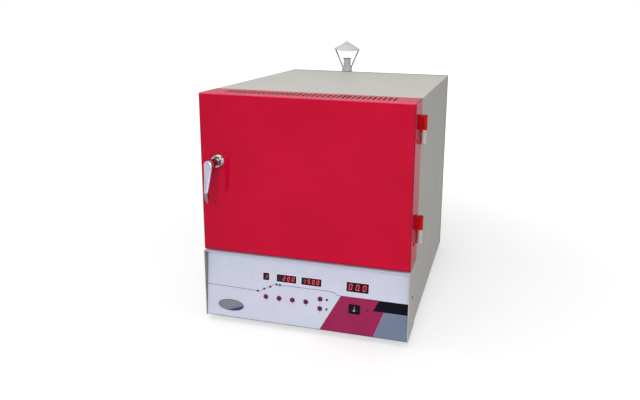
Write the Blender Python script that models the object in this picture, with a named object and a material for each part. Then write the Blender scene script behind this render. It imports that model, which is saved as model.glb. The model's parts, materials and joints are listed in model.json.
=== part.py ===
"""Dental burnout furnace: a sheet steel case on a control console, an insulated door on lift-off
hinges with a lever latch, a ceramic muffle in insulating boards, and a chimney behind the back.

Metres, +Z up. +X is to the right of someone who faces the door, and +Y runs into the furnace.
Every size below is measured in the furnace's own coordinates: X from its middle plane, Y from the
door's front face and Z from the table. One empty at the end moves the whole furnace so that the
middle of its box, on the table, is the world's origin.
"""

import math

import bmesh
import bpy
from mathutils import Matrix, Vector

# General fits
fit_gap = 0.0003            # left between two faces that touch
overrun = 0.010             # how far a cut runs past the face that it leaves by
round_sides = 24
pipe_sides = 20
small_sides = 8

# Case
case_width = 0.500
case_height = 0.548         # from the bottom of the front skirt to the top
case_depth = 0.544          # from the face behind the door to the rear cover's outer face
case_sheet = 0.0015
case_edge_radius = 0.003
case_edge_steps = 3
rear_flange_width = 0.016
skirt_clearance = 0.012     # from the table to the front skirt
skirt_step = 0.0086         # the skirt hangs this far below the rest of the case
cheek_reach = 0.0034        # the console's sides stand this far ahead of the door
ledge_height = 0.168        # from the bottom of the skirt to the top of the console
ledge_flange = 0.012

# Base pan, feet and shelf
base_flange = 0.020
base_front_inset = 0.010
foot_radius = 0.015
foot_top_radius = 0.013
foot_recess_radius = 0.006
foot_recess_depth = 0.010
foot_inset_x = 0.050
foot_inset_front = 0.060
foot_inset_back = 0.060
shelf_flange = 0.015

# Rear cover
cover_sheet = 0.0015
cover_rim = 0.014
cover_post_radius = 0.004
louvre_count = 7
louvre_width = 0.0035
louvre_height = 0.060
louvre_pitch = 0.018
louvre_low_height = 0.045   # middle of the lower row of slots, above the case's bottom edge
louvre_top_drop = 0.055     # middle of the upper row of slots, below the case's top
louvre_gland_gap = 0.004    # from the cable gland's nut to the middle of the nearest slot

# Door
door_thickness = 0.087
door_gap = 0.0018           # between the door's back edge and the face of the case
sill_gap = 0.0034           # between the console's top and the door
door_sheet = 0.0015
door_edge_radius = 0.0025
door_edge_steps = 2
round_profile_share = 0.5   # a bevel whose section is an arc
slot_count = 35
slot_pitch = 0.01156
slot_width = 0.004
slot_length = 0.043
slot_front = 0.025          # from the door's front face to the slots
inlet_count = 5             # long air inlets in the door's underside
inlet_pitch = 0.080
inlet_length = 0.060
back_panel_recess = 0.003   # from the door's back edges to its back panel
back_panel_flange = 0.012
tray_sheet = 0.0012
tray_air_space = 0.030      # cooling air between the door's face and the insulation tray
tray_flange = 0.014
door_board_margin_x = 0.045 # the door's insulation beyond its plug, at each side
door_board_margin_z = 0.055
plug_reach = 0.020          # how far the door's plug enters the muffle
plug_clearance = 0.004      # around the plug inside the muffle
gasket_width = 0.010
gasket_clearance = 0.0015

# Front frame and chamber
frame_flange = 0.012
frame_foot = 0.020          # how far the frame reaches below the console's top
side_air_space = 0.0702     # between the insulation and the inside of the case
roof_air_space = 0.0385
rear_air_space = 0.0876
muffle_wall = 0.008
muffle_recess = 0.006       # from the face of the case to the muffle's front
mouth_margin = 0.017        # between the muffle and the edge of the frame's opening
board_side_thickness = 0.044
board_floor_thickness = 0.060
board_rear_thickness = 0.090
element_space = 0.0063      # between the muffle and each side board
element_radius = 0.0025
element_runs = 6
element_margin = 0.028      # from the muffle's top and bottom to the element's outermost runs
element_inset = 0.022       # from the muffle's front and back to the element's bends
element_tail = 0.016        # bare end behind the insulation
element_sides = 6
bend_steps = 4
jacket_sheet = 0.0012
jacket_foot = 0.012
probe_radius = 0.003
probe_reach = 0.030         # how far the thermocouple reaches into the chamber
probe_drop = 0.030          # from the chamber's roof to the thermocouple
probe_head_width = 0.022
probe_head_depth = 0.014
probe_clearance = 0.0006

# Flue and chimney
flue_inset = 0.0425         # from the chamber's left side to the flue's axis
flue_drop = 0.028           # from the chamber's roof to the flue's axis
duct_radius = 0.0125
duct_wall = 0.0015
flue_clearance = 0.0006
elbow_radius = 0.015
elbow_wall = 0.002
elbow_bend_radius = 0.026
elbow_straight = 0.003
elbow_flange_size = 0.056
elbow_flange_thickness = 0.002
elbow_screw_inset = 0.006
elbow_bend_steps = 5
collar_radius = 0.0164
collar_length = 0.052
collar_shoulder = 0.0055
collar_top_rise = 0.0135    # top of the collar above the case's top
stack_radius = 0.0102
stack_wall = 0.0015
stack_rise = 0.0265         # the tube above the collar
stack_seat = 0.020          # the tube inside the collar
stack_lip_radius = 0.0121
stack_lip_height = 0.004
cap_radius = 0.040
cap_apex_rise = 0.0935      # the cap's point above the case's top
cap_height = 0.0245
cap_sheet = 0.0012
strut_radius = 0.0015
strut_inset = 0.002         # from the cap's edge to the top of a strut

# Hinges
hinge_axis_out = 0.0065     # from the side of the case to the hinge pins' axis
knuckle_radius = 0.006
knuckle_length = 0.033
pin_radius = 0.003
pin_end = 0.004             # closed end of each knuckle
leaf_thickness = 0.003
leaf_length = 0.018
socket_leaf_thickness = 0.0025
socket_leaf_length = 0.018
upper_hinge_drop = 0.0705   # from the case's top to the meeting of the upper hinge's knuckles
lower_hinge_rise = 0.0740   # from the console's top to the meeting of the lower hinge's knuckles
bolt_setback = 0.034        # bolt on the door's side, behind the door's front face
bolt_drop = 0.0175          # and below the meeting of the two knuckles

# Lever and latch
handle_inset = 0.0424       # from the door's left edge to the handle's axis
handle_rise = 0.0315        # above the middle of the door
escutcheon_radius = 0.0175
escutcheon_top_radius = 0.0135
escutcheon_height = 0.008
stem_radius = 0.0095
stem_length = 0.039
stem_bore_depth = 0.020
shaft_radius = 0.004
shaft_clearance = 0.0005
lever_length = 0.088
lever_head_width = 0.021
lever_neck_width = 0.0095
lever_tip_width = 0.005
lever_head_thickness = 0.011
lever_neck_thickness = 0.008
lever_tip_thickness = 0.005
lever_flare = 0.010         # how far the lever leans away from the door at its neck
lever_hook = 0.012          # how far its tip turns back towards the door
lever_neck_share = 0.72
lever_head_shares = (0.99, 0.89, 0.64, 0.34)   # heights of its rings above the axis, of its half width
lever_flare_power = 1.5
lever_hook_power = 1.6
lever_steps = 4
lever_sides = 12
dog_thickness = 0.005
dog_length = 0.024
dog_width = 0.009
dog_hub_radius = 0.008
dog_clearance = 0.0015
keeper_thickness = 0.002
keeper_width = 0.050
keeper_margin = 0.006

# Control panel
panel_foot_height = 0.002   # above the bottom of the skirt
panel_foot_setback = -0.0008  # bottom edge, behind the plane of the door's front
panel_lean = 0.017          # how far the panel's top leans back
panel_flange = 0.012
panel_lip = 0.016
overlay_thickness = 0.0004
overlay_side_margin = 0.0015
overlay_top_margin = 0.003
overlay_foot_margin = 0.0008
display_row_share = 0.68088 # heights on the panel, as shares of its slope from the bottom edge
button_row_share = 0.37860
switch_row_share = 0.36649
badge_row_share = 0.18294
profile_low_share = 0.45069
profile_high_share = 0.57851
cutout_clearance = 0.0004
display_rim = 0.0012
display_recess = 0.0005
program_display_x = -0.0964
program_display_width = 0.0146
small_display_height = 0.0172
setpoint_display_x = -0.0452
time_display_x = 0.0165
four_digit_width = 0.0484
chamber_display_inset = 0.1220  # from the case's right side to its middle
chamber_display_width = 0.0520
chamber_display_height = 0.0222
button_first_x = -0.0960
button_pitch = 0.0335
button_row_count = 4
button_column_x = 0.0393
button_column_spread = 0.0115   # the last two buttons, above and below the row
button_radius = 0.0050
button_rise = 0.0024
button_dome = 0.0012
button_flange_radius = 0.0064
button_flange_thickness = 0.001
button_stem_radius = 0.002
button_clearance = 0.0004
button_travel = 0.0012
button_dome_shares = ((0.5, 0.0), (0.86, 0.33), (1.0, 1.0))  # of its radius and of its dome's height
button_sides = 12
tact_size = 0.006
lamp_radius = 0.0024
lamp_rise = 0.0009
lamp_crown_share = 0.5      # flat middle of the lens, and the height of its edge
status_lamp_x = 0.0558
power_lamp_inset = 0.0970
profile_slope_shares = (0.0, 0.338, 0.665, 1.0)
profile_first_x = -0.1169
profile_last_x = -0.0694
profile_hold_x = -0.0612
switch_inset = 0.1273
bezel_width = 0.0270
bezel_height = 0.0220
bezel_thickness = 0.0018
switch_body_width = 0.0236
switch_body_height = 0.0186
switch_body_depth = 0.022
pocket_depth = 0.010
pocket_margin = 0.0014
rocker_gap = 0.0005
rocker_rise = 0.0010        # its ends, level, ahead of the bezel
rocker_tail = 0.0045
rocker_valley = 0.0014
rocker_pivot_depth = 0.003
rocker_swing_room = 0.0013
rocker_tilt = math.radians(9)
badge_inset = 0.0640        # from the case's left side to the badge's middle
badge_width = 0.0684
badge_height = 0.0294
badge_thickness = 0.0012
badge_edge_share = 0.5      # straight part of its edge
badge_sides = 32

# Electronics
board_setback = 0.0150      # from the panel's face to the circuit board
board_thickness = 0.0016
board_edge = 0.008          # the board beyond its outermost lamp and display
board_band = 0.0155         # and above the displays and below the buttons
board_notch_margin = 0.006
spacer_radius = 0.0035
spacer_inset = 0.006
tact_height = 0.0025
chip_length = 0.050
chip_width = 0.015
chip_height = 0.005
transformer_inset = 0.130   # from the case's right side to its middle
transformer_y = 0.250
core_width = 0.072
core_depth = 0.034
core_height = 0.060
coil_width = 0.044
coil_depth = 0.054
coil_height = 0.038
transformer_foot = 0.012
transformer_foot_thickness = 0.003
relay_inset = 0.130         # from the case's left side to its middle
relay_y = 0.250
relay_width = 0.045
relay_depth = 0.058
relay_height = 0.024
sink_width = 0.080
sink_depth = 0.100
sink_base = 0.006
fin_count = 7
fin_height = 0.020
fin_thickness = 0.002
gland_inset = 0.070         # from the case's right side to its axis
gland_height = 0.040        # above the case's bottom edge
gland_radius = 0.008
gland_bore_radius = 0.0042
gland_mouth_radius = 0.0056
gland_nut_radius = 0.012
gland_nut_length = 0.006
gland_dome_length = 0.012
gland_tail = 0.008

# Screws
screw_head_radius = 0.0038
screw_head_height = 0.0022
screw_shank_radius = 0.0018
screw_shank_length = 0.006
screw_hole_clearance = 0.0005
screw_dome_shares = ((0.0, 1.0), (0.6, 0.86), (1.0, 0.35))  # of the head's radius and height
screw_sides = 12
cheek_screw_y = 0.048
cheek_screw_height = 0.0884 # above the bottom of the skirt
cover_screw_inset = 0.008

# Places worked out from the sizes above
half_width = case_width / 2
inner_half = half_width - case_sheet
inner_radius = case_edge_radius - case_sheet
skirt_z = skirt_clearance
body_z = skirt_z + skirt_step
ledge_z = skirt_z + ledge_height
door_z = ledge_z + sill_gap
top_z = skirt_z + case_height
front_y = door_thickness + door_gap
back_y = front_y + case_depth
shell_back_y = back_y - cover_rim - fit_gap
inside_back_y = shell_back_y - case_sheet - fit_gap
frame_back_y = front_y + case_sheet

chamber_z = (door_z + top_z) / 2
board_half_x = inner_half - side_air_space
slab_outer_z = top_z - case_sheet - roof_air_space - chamber_z
slab_inner_z = slab_outer_z - board_floor_thickness
board_back_y = inside_back_y - rear_air_space
shelf_z = chamber_z - slab_outer_z - fit_gap
muffle_half_x = board_half_x - board_side_thickness - element_space
muffle_half_z = slab_inner_z - fit_gap
muffle_front_y = front_y + muffle_recess
muffle_back_y = board_back_y - board_rear_thickness - fit_gap
chamber_half_x = muffle_half_x - muffle_wall
chamber_half_z = muffle_half_z - muffle_wall
chamber_back_y = muffle_back_y - muffle_wall
element_run_pitch = 2 * (muffle_half_z - element_margin) / (element_runs - 1)

back_panel_y = door_thickness - back_panel_recess
plug_half_x = chamber_half_x - plug_clearance
plug_half_z = chamber_half_z - plug_clearance
plug_back_y = muffle_front_y + plug_reach
tray_half_x = plug_half_x + door_board_margin_x + fit_gap + tray_sheet
tray_half_z = plug_half_z + door_board_margin_z + fit_gap + tray_sheet
tray_back_y = back_panel_y - door_sheet - fit_gap

flue_x = flue_inset - chamber_half_x
flue_z = chamber_z + chamber_half_z - flue_drop
probe_z = chamber_z + chamber_half_z - probe_drop
stack_y = back_y + fit_gap + elbow_straight + elbow_bend_radius
collar_top_z = top_z + collar_top_rise
riser_top_z = collar_top_z - stack_seat - fit_gap
collar_foot_z = collar_top_z - collar_length
cap_apex_z = top_z + cap_apex_rise
cap_rim_z = cap_apex_z - cap_height

hinge_x = half_width + hinge_axis_out
hinge_y = front_y - door_gap / 2
at_door = -Vector((hinge_x, hinge_y, 0))   # the furnace's origin, seen from the door's axis
handle_x = handle_inset - half_width
handle_z = chamber_z + handle_rise
hinge_levels = (("upper", top_z - upper_hinge_drop), ("lower", ledge_z + lower_hinge_rise))
dog_front_y = frame_back_y + keeper_thickness + fit_gap

panel_rise = ledge_height - panel_foot_height - case_sheet - fit_gap
panel_foot_z = skirt_z + panel_foot_height
panel_tilt = math.atan2(panel_lean, panel_rise)
panel_slope = math.hypot(panel_lean, panel_rise)
overlay_back = -fit_gap
overlay_front = overlay_back - overlay_thickness
panel_half = inner_half - fit_gap
display_row = display_row_share * panel_slope
button_row = button_row_share * panel_slope
switch_row = switch_row_share * panel_slope
badge_row = badge_row_share * panel_slope
profile_low = profile_low_share * panel_slope
profile_high = profile_high_share * panel_slope
chamber_display_x = half_width - chamber_display_inset
switch_x = half_width - switch_inset
power_lamp_x = half_width - power_lamp_inset
badge_x = badge_inset - half_width
transformer_x = half_width - transformer_inset
relay_x = relay_inset - half_width
gland_x = half_width - gland_inset
louvre_x = gland_x - gland_nut_radius - louvre_gland_gap - (louvre_count - 1) / 2 * louvre_pitch

# The furnace's box, whose middle becomes the origin
reach_right = hinge_x + knuckle_radius
reach_left = -half_width - screw_head_height
lever_middle_y = -(stem_length + fit_gap + lever_head_thickness / 2)
reach_front = lever_middle_y - lever_flare - lever_neck_thickness / 2
reach_back = stack_y + cap_radius
shift = Vector((-(reach_left + reach_right) / 2, -(reach_front + reach_back) / 2, 0))


def clear_scene():
    """Remove whatever the scene starts with."""
    for item in list(bpy.data.objects):
        bpy.data.objects.remove(item, do_unlink=True)


def paint(name, colour, roughness, metallic=0.0):
    """A Principled material in linear colour."""
    material = bpy.data.materials.new(name)
    material.use_nodes = True
    shader = material.node_tree.nodes["Principled BSDF"]
    shader.inputs["Base Color"].default_value = (*colour, 1.0)
    shader.inputs["Roughness"].default_value = roughness
    shader.inputs["Metallic"].default_value = metallic
    material.diffuse_color = (*colour, 1.0)
    return material


def empty(name, parent, location, rotation=(0, 0, 0)):
    """An empty that carries the pieces of one moving or tilted group."""
    item = bpy.data.objects.new(name, None)
    item.empty_display_size = foot_radius
    item.parent = parent
    item.location = location
    item.rotation_euler = rotation
    bpy.context.collection.objects.link(item)
    return item


def add_object(name, shape, material, parent, location=(0, 0, 0), rotation=(0, 0, 0), smooth=False):
    """Turn a bmesh into a named object with outward faces."""
    bmesh.ops.recalc_face_normals(shape, faces=shape.faces)
    mesh = bpy.data.meshes.new(name)
    shape.to_mesh(mesh)
    shape.free()
    if material:
        mesh.materials.append(material)
    if smooth:
        mesh.shade_smooth()
        mesh.set_sharp_from_angle(angle=math.radians(35))
    item = bpy.data.objects.new(name, mesh)
    item.parent = parent
    item.location = location
    item.rotation_euler = rotation
    bpy.context.collection.objects.link(item)
    return item


def boolean(target, shape, operation="DIFFERENCE"):
    """Cut a shape from the target, or union it on, in the target's own coordinates."""
    name = f"{target.name}_tool_{len(target.modifiers)}"
    tool = add_object(name, shape, None, target.parent, target.location, target.rotation_euler)
    tool.hide_render = True
    tool.display_type = "WIRE"
    modifier = target.modifiers.new(name, "BOOLEAN")
    modifier.operation = operation
    modifier.solver = "EXACT"
    modifier.object = tool
    return tool


def box(shape, low, high):
    """Add a box between two corners."""
    corners = [shape.verts.new((x, y, z)) for z in (low[2], high[2])
               for y in (low[1], high[1]) for x in (low[0], high[0])]
    for face in ((0, 2, 3, 1), (4, 5, 7, 6), (0, 1, 5, 4), (2, 6, 7, 3), (0, 4, 6, 2), (1, 3, 7, 5)):
        shape.faces.new([corners[index] for index in face])
    return corners


def box_shape(low, high):
    """A new shape that holds one box."""
    shape = bmesh.new()
    box(shape, low, high)
    return shape


def prism(shape, outline, low, high, plane):
    """Add an outline drawn in XZ or YZ, drawn out along the third axis."""
    order = {"XZ": (0, 2, 1), "YZ": (2, 0, 1)}[plane]
    rings = []
    for level in (low, high):
        rings.append([shape.verts.new([(a, b, level)[index] for index in order]) for a, b in outline])
    shape.faces.new(rings[0])
    shape.faces.new(rings[1])
    for index in range(len(outline)):
        after = (index + 1) % len(outline)
        shape.faces.new((rings[0][index], rings[0][after], rings[1][after], rings[1][index]))


def bridge(shape, ring, other):
    """Join two rings of vertices, either of which may be a single point."""
    count = max(len(ring), len(other))
    for index in range(count):
        after = (index + 1) % count
        corners = [ring[index % len(ring)], ring[after % len(ring)], other[after % len(other)],
                   other[index % len(other)]]
        shape.faces.new(list(dict.fromkeys(corners)))


def lathe(shape, profile, sides, place, closed=False):
    """Turn a profile of radius and height round the local Z axis of a placing matrix."""
    rings = []
    for radius, height in profile:
        if radius == 0:
            rings.append([shape.verts.new(place @ Vector((0, 0, height)))])
            continue
        ring = []
        for side in range(sides):
            angle = math.tau * side / sides
            point = Vector((radius * math.cos(angle), radius * math.sin(angle), height))
            ring.append(shape.verts.new(place @ point))
        rings.append(ring)
    for index in range(len(rings) - 1):
        bridge(shape, rings[index], rings[index + 1])
    if closed:
        bridge(shape, rings[-1], rings[0])
        return
    for ring in (rings[0], rings[-1]):
        if len(ring) > 1:
            shape.faces.new(ring)


def along_x(x, y, z):
    """Place for a turned shape whose axis runs along +X."""
    return Matrix.Translation((x, y, z)) @ Matrix.Rotation(math.pi / 2, 4, "Y")


def along_y(x, y, z):
    """Place for a turned shape whose axis runs along +Y."""
    return Matrix.Translation((x, y, z)) @ Matrix.Rotation(-math.pi / 2, 4, "X")


def along_z(x, y, z):
    """Place for a turned shape whose axis runs along +Z."""
    return Matrix.Translation((x, y, z))


def rod(shape, radius, length, place, sides=round_sides):
    """Add a plain cylinder that starts at its place."""
    lathe(shape, [(radius, 0), (radius, length)], sides, place)


def tube_profile(outer, inner, low, high):
    """Closed profile of a plain tube."""
    return [(outer, low), (outer, high), (inner, high), (inner, low)]


def round_bore(radius, sides=round_sides):
    """Corner radius of a polygon bore whose flats clear a round of this radius."""
    return radius / math.cos(math.pi / sides)


def sweep(shape, path, outer, sides, inner=0):
    """Add a round bar, or a pipe with a bore, along a path in space."""
    surfaces = []
    for radius in (outer, inner) if inner else (outer,):
        rings = []
        normal = None
        for index, point in enumerate(path):
            before = path[max(index - 1, 0)]
            after = path[min(index + 1, len(path) - 1)]
            tangent = (after - before).normalized()
            if normal is None:
                guide = Vector((1, 0, 0)) if abs(tangent.x) < 0.9 else Vector((0, 0, 1))
                normal = guide.cross(tangent).normalized()
            normal = (normal - tangent * normal.dot(tangent)).normalized()
            side_axis = tangent.cross(normal)
            ring = []
            for side in range(sides):
                angle = math.tau * side / sides
                offset = normal * math.cos(angle) + side_axis * math.sin(angle)
                ring.append(shape.verts.new(point + offset * radius))
            rings.append(ring)
        for index in range(len(rings) - 1):
            bridge(shape, rings[index], rings[index + 1])
        surfaces.append(rings)
    for end in (0, -1):
        if inner:
            bridge(shape, surfaces[0][end], surfaces[1][end])
        else:
            shape.faces.new(surfaces[0][end])


def offset_path(points, distance):
    """The points moved to the left of their path, with mitred corners."""
    moved = []
    for index, point in enumerate(points):
        here = Vector(point)
        normals = []
        for start, end in ((index - 1, index), (index, index + 1)):
            if 0 <= start and end < len(points):
                along = (Vector(points[end]) - Vector(points[start])).normalized()
                normals.append(Vector((-along.y, along.x)))
        if len(normals) == 2:
            mitre = (normals[0] + normals[1]).normalized()
            mitre = mitre / mitre.dot(normals[0])
        else:
            mitre = normals[0]
        moved.append(tuple(here + mitre * distance))
    return moved


def folded_sheet(shape, points, thickness, low, high, plane):
    """Add a folded sheet whose outer face follows the points and whose metal lies to their left."""
    outline = list(points) + list(reversed(offset_path(points, thickness)))
    prism(shape, outline, low, high, plane)


def arc(centre, radius, start, end, steps):
    """Points along an arc in a plane."""
    points = []
    for step in range(steps + 1):
        angle = start + (end - start) * step / steps
        points.append((centre[0] + radius * math.cos(angle), centre[1] + radius * math.sin(angle)))
    return points


def arch(half, low, high, radius):
    """Outline of the case seen from the front, with its two upper corners rounded."""
    right = arc((half - radius, high - radius), radius, 0, math.pi / 2, case_edge_steps)
    left = arc((radius - half, high - radius), radius, math.pi / 2, math.pi, case_edge_steps)
    return [(-half, low), (half, low)] + right + left


def spread(count, pitch, middle=0.0):
    """Evenly spaced places about a middle."""
    return [middle + (index - (count - 1) / 2) * pitch for index in range(count)]


def build_screw(name, place, material, parent, location=(0, 0, 0)):
    """Make a domed screw whose head rises along the place's local Z."""
    profile = [(screw_head_radius * share, fit_gap + (screw_head_height - fit_gap) * rise)
               for share, rise in screw_dome_shares]
    profile += [(screw_head_radius, fit_gap), (screw_shank_radius, fit_gap),
                (screw_shank_radius, -screw_shank_length)]
    shape = bmesh.new()
    lathe(shape, profile, screw_sides, place)
    add_object(name, shape, material, parent, location, smooth=True)


def screw_hole(shape, place, depth=screw_shank_length):
    """Add the cutter of one screw hole, open to both sides of its sheet."""
    radius = round_bore(screw_shank_radius + screw_hole_clearance, small_sides)
    lathe(shape, [(radius, -depth), (radius, screw_shank_length)], small_sides, place)


def cover_screw_places():
    """Where the rear cover is screwed to the flange of the case."""
    reach_x = inner_half - cover_screw_inset
    high = top_z - case_sheet - cover_screw_inset
    low = body_z + base_flange + cover_screw_inset
    places = [(x, high) for x in (-reach_x, 0, reach_x)]
    return places + [(side * reach_x, z) for side in (-1, 1) for z in ((low + high) / 2, low)]


def cheek_screw_places():
    """The one visible screw on each side of the console."""
    z = skirt_z + cheek_screw_height
    right = along_x(half_width, cheek_screw_y, z)
    left = along_x(-half_width, cheek_screw_y, z) @ Matrix.Rotation(math.pi, 4, "X")
    return [left, right]


def flange_screw_places():
    """The four screws of the chimney elbow's flange."""
    reach = elbow_flange_size / 2 - elbow_screw_inset
    return [(flue_x + a * reach, flue_z + b * reach) for a in (-1, 1) for b in (-1, 1)]


def build_case(parent, paints):
    """The wrapped case with its console cheeks, its base pan and the console's top."""
    shape = bmesh.new()
    prism(shape, arch(half_width, skirt_z, top_z, case_edge_radius), -cheek_reach, shell_back_y, "XZ")
    case = add_object("outer_case", shape, paints["case"], parent)
    shape = bmesh.new()
    inside = arch(inner_half, skirt_z - overrun, top_z - case_sheet, inner_radius)
    prism(shape, inside, -cheek_reach - overrun, shell_back_y - case_sheet, "XZ")
    boolean(case, shape)
    window = inner_half - rear_flange_width
    boolean(case, box_shape((-window, inside_back_y - overrun, skirt_z - overrun),
                            (window, shell_back_y + overrun, top_z - case_sheet - rear_flange_width)))
    boolean(case, box_shape((-half_width - overrun, -cheek_reach - overrun, ledge_z),
                            (half_width + overrun, front_y, top_z + overrun)))
    boolean(case, box_shape((-half_width - overrun, front_y, skirt_z - overrun),
                            (half_width + overrun, shell_back_y + overrun, body_z)))
    posts = bmesh.new()
    holes = bmesh.new()
    for x, z in cover_screw_places():
        post_y = shell_back_y - case_sheet / 2
        post_length = back_y - cover_sheet - fit_gap - post_y
        rod(posts, cover_post_radius, post_length, along_y(x, post_y, z), small_sides)
        screw_hole(holes, along_y(x, back_y, z), cover_rim + overrun)
    boolean(case, posts, "UNION")
    for place in cheek_screw_places():
        screw_hole(holes, place)
    boolean(case, holes)

    shape = bmesh.new()
    high = body_z + base_flange
    outline = [(panel_half, high), (panel_half, body_z), (-panel_half, body_z), (-panel_half, high)]
    folded_sheet(shape, [(x, z) for x, z in reversed(outline)], case_sheet, base_front_inset, inside_back_y, "XZ")
    base = add_object("base_pan", shape, paints["zinc"], parent)
    slots = bmesh.new()
    for x in spread(louvre_count, louvre_pitch):
        box(slots, (x - louvre_width / 2, relay_y - louvre_height, body_z - overrun),
            (x + louvre_width / 2, relay_y + louvre_height, body_z + overrun))
    boolean(base, slots)

    shape = bmesh.new()
    drop = ledge_z - ledge_flange
    outline = [(panel_half, drop), (panel_half, ledge_z), (-panel_half, ledge_z), (-panel_half, drop)]
    folded_sheet(shape, outline, case_sheet, -cheek_reach, front_y - fit_gap, "XZ")
    ledge = add_object("console_ledge", shape, paints["panel"], parent)
    panel_reach = panel_foot_setback + panel_lean + panel_flange + fit_gap
    boolean(ledge, box_shape((-half_width, -cheek_reach - overrun, drop - overrun),
                             (half_width, panel_reach, ledge_z - case_sheet)))


def build_feet(parent, paints):
    """Four turned rubber feet, hollow underneath."""
    seat = body_z - fit_gap
    profile = [(0, foot_recess_depth), (foot_recess_radius, foot_recess_depth), (foot_recess_radius, 0),
               (foot_radius, 0), (foot_top_radius, seat), (0, seat)]
    for row, y in (("front", foot_inset_front), ("back", back_y - foot_inset_back)):
        for side, x in (("left", foot_inset_x - half_width), ("right", half_width - foot_inset_x)):
            shape = bmesh.new()
            lathe(shape, profile, pipe_sides, along_z(0, 0, 0))
            add_object(f"foot_{row}_{side}", shape, paints["rubber"], parent, (x, y, 0), smooth=True)


def build_rear_cover(parent, paints):
    """The dark rear pan with its cooling slots and the holes for the flue and the cable gland."""
    shape = bmesh.new()
    prism(shape, arch(half_width, body_z, top_z, case_edge_radius), back_y - cover_rim, back_y, "XZ")
    cover = add_object("rear_cover", shape, paints["dark"], parent)
    shape = bmesh.new()
    inside = arch(half_width - cover_sheet, body_z + cover_sheet, top_z - cover_sheet, inner_radius)
    prism(shape, inside, back_y - cover_rim - overrun, back_y - cover_sheet, "XZ")
    boolean(cover, shape)
    holes = bmesh.new()
    for middle_z in (body_z + louvre_low_height, top_z - louvre_top_drop):
        for side in (-1, 1):
            for x in spread(louvre_count, louvre_pitch, side * louvre_x):
                box(holes, (x - louvre_width / 2, back_y - overrun, middle_z - louvre_height / 2),
                    (x + louvre_width / 2, back_y + overrun, middle_z + louvre_height / 2))
    for x, z in cover_screw_places() + flange_screw_places():
        screw_hole(holes, along_y(x, back_y, z))
    rod(holes, round_bore(duct_radius + flue_clearance), 2 * overrun, along_y(flue_x, back_y - overrun, flue_z))
    gland_hole = round_bore(gland_radius + fit_gap, pipe_sides)
    rod(holes, gland_hole, 2 * overrun, along_y(gland_x, back_y - overrun, body_z + gland_height), pipe_sides)
    boolean(cover, holes)


def build_front_frame(parent, paints):
    """The face of the case round the muffle's mouth, with the keeper plate and its slot for the latch."""
    shape = bmesh.new()
    low = ledge_z - frame_foot
    high = top_z - case_sheet - fit_gap
    prism(shape, arch(panel_half, low, high, inner_radius), front_y, front_y + frame_flange, "XZ")
    frame = add_object("front_frame", shape, paints["case"], parent)
    boolean(frame, box_shape((case_sheet - panel_half, frame_back_y, low + case_sheet),
                             (panel_half - case_sheet, front_y + frame_flange + overrun, high - case_sheet)))
    mouth_x = muffle_half_x + mouth_margin
    mouth_z = muffle_half_z + mouth_margin
    boolean(frame, box_shape((-mouth_x, front_y - overrun, chamber_z - mouth_z),
                             (mouth_x, frame_back_y + overrun, chamber_z + mouth_z)))
    slot_low, slot_high = dog_slot()
    keeper_back_y = frame_back_y + keeper_thickness
    keeper_x = keeper_width / 2
    boolean(frame, box_shape((handle_x - keeper_x, front_y + case_sheet / 2, slot_low[1] - keeper_margin),
                             (handle_x + keeper_x, keeper_back_y, slot_high[1] + keeper_margin)), "UNION")
    boolean(frame, box_shape((slot_low[0], front_y - overrun, slot_low[1]),
                             (slot_high[0], keeper_back_y + overrun, slot_high[1])))


def dog_slot():
    """Lower and upper corners, in X and Z, of the slot that the latch dog passes."""
    half = dog_hub_radius + dog_clearance
    return ((handle_x - half, handle_z - dog_length - dog_clearance), (handle_x + half, handle_z + half))


def build_chamber(parent, paints):
    """The muffle, its insulating boards, the jacket round them and the shelf that carries them."""
    muffle = add_object("muffle", box_shape((-muffle_half_x, muffle_front_y, chamber_z - muffle_half_z),
                                            (muffle_half_x, muffle_back_y, chamber_z + muffle_half_z)),
                        paints["ceramic"], parent)
    boolean(muffle, box_shape((-chamber_half_x, muffle_front_y - overrun, chamber_z - chamber_half_z),
                              (chamber_half_x, chamber_back_y, chamber_z + chamber_half_z)))
    boolean(muffle, rear_bores(chamber_back_y - overrun))

    low = chamber_z - slab_outer_z
    high = chamber_z + slab_outer_z
    add_object("insulation_floor", box_shape((-board_half_x, muffle_front_y, low),
                                             (board_half_x, board_back_y, chamber_z - slab_inner_z)),
               paints["fibre"], parent)
    hood = add_object("insulation_hood", box_shape(
        (-board_half_x, muffle_front_y, chamber_z - muffle_half_z), (board_half_x, board_back_y, high)),
        paints["fibre"], parent)
    hollow_x = muffle_half_x + element_space
    boolean(hood, box_shape((-hollow_x, muffle_front_y - overrun, chamber_z - muffle_half_z - overrun),
                            (hollow_x, board_back_y + overrun, chamber_z + slab_inner_z)))
    rear = add_object("insulation_rear", box_shape((-muffle_half_x, muffle_back_y + fit_gap,
                                                    chamber_z - muffle_half_z),
                                                   (muffle_half_x, board_back_y, chamber_z + muffle_half_z)),
                      paints["fibre"], parent)
    boolean(rear, rear_bores(muffle_back_y - overrun))

    side = board_half_x + fit_gap + jacket_sheet
    foot_z = shelf_z + fit_gap + jacket_sheet
    roof_z = high + fit_gap + jacket_sheet
    shape = bmesh.new()
    outline = [(side + jacket_foot, foot_z), (side, foot_z), (side, roof_z), (-side, roof_z), (-side, foot_z),
               (-side - jacket_foot, foot_z)]
    folded_sheet(shape, outline, jacket_sheet, muffle_front_y, board_back_y, "XZ")
    add_object("chamber_jacket", shape, paints["zinc"], parent)

    shape = bmesh.new()
    drop = shelf_z - shelf_flange
    outline = [(panel_half, drop), (panel_half, shelf_z), (-panel_half, shelf_z), (-panel_half, drop)]
    folded_sheet(shape, outline, case_sheet, front_y + frame_flange + fit_gap, inside_back_y, "XZ")
    add_object("chamber_shelf", shape, paints["zinc"], parent)


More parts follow.
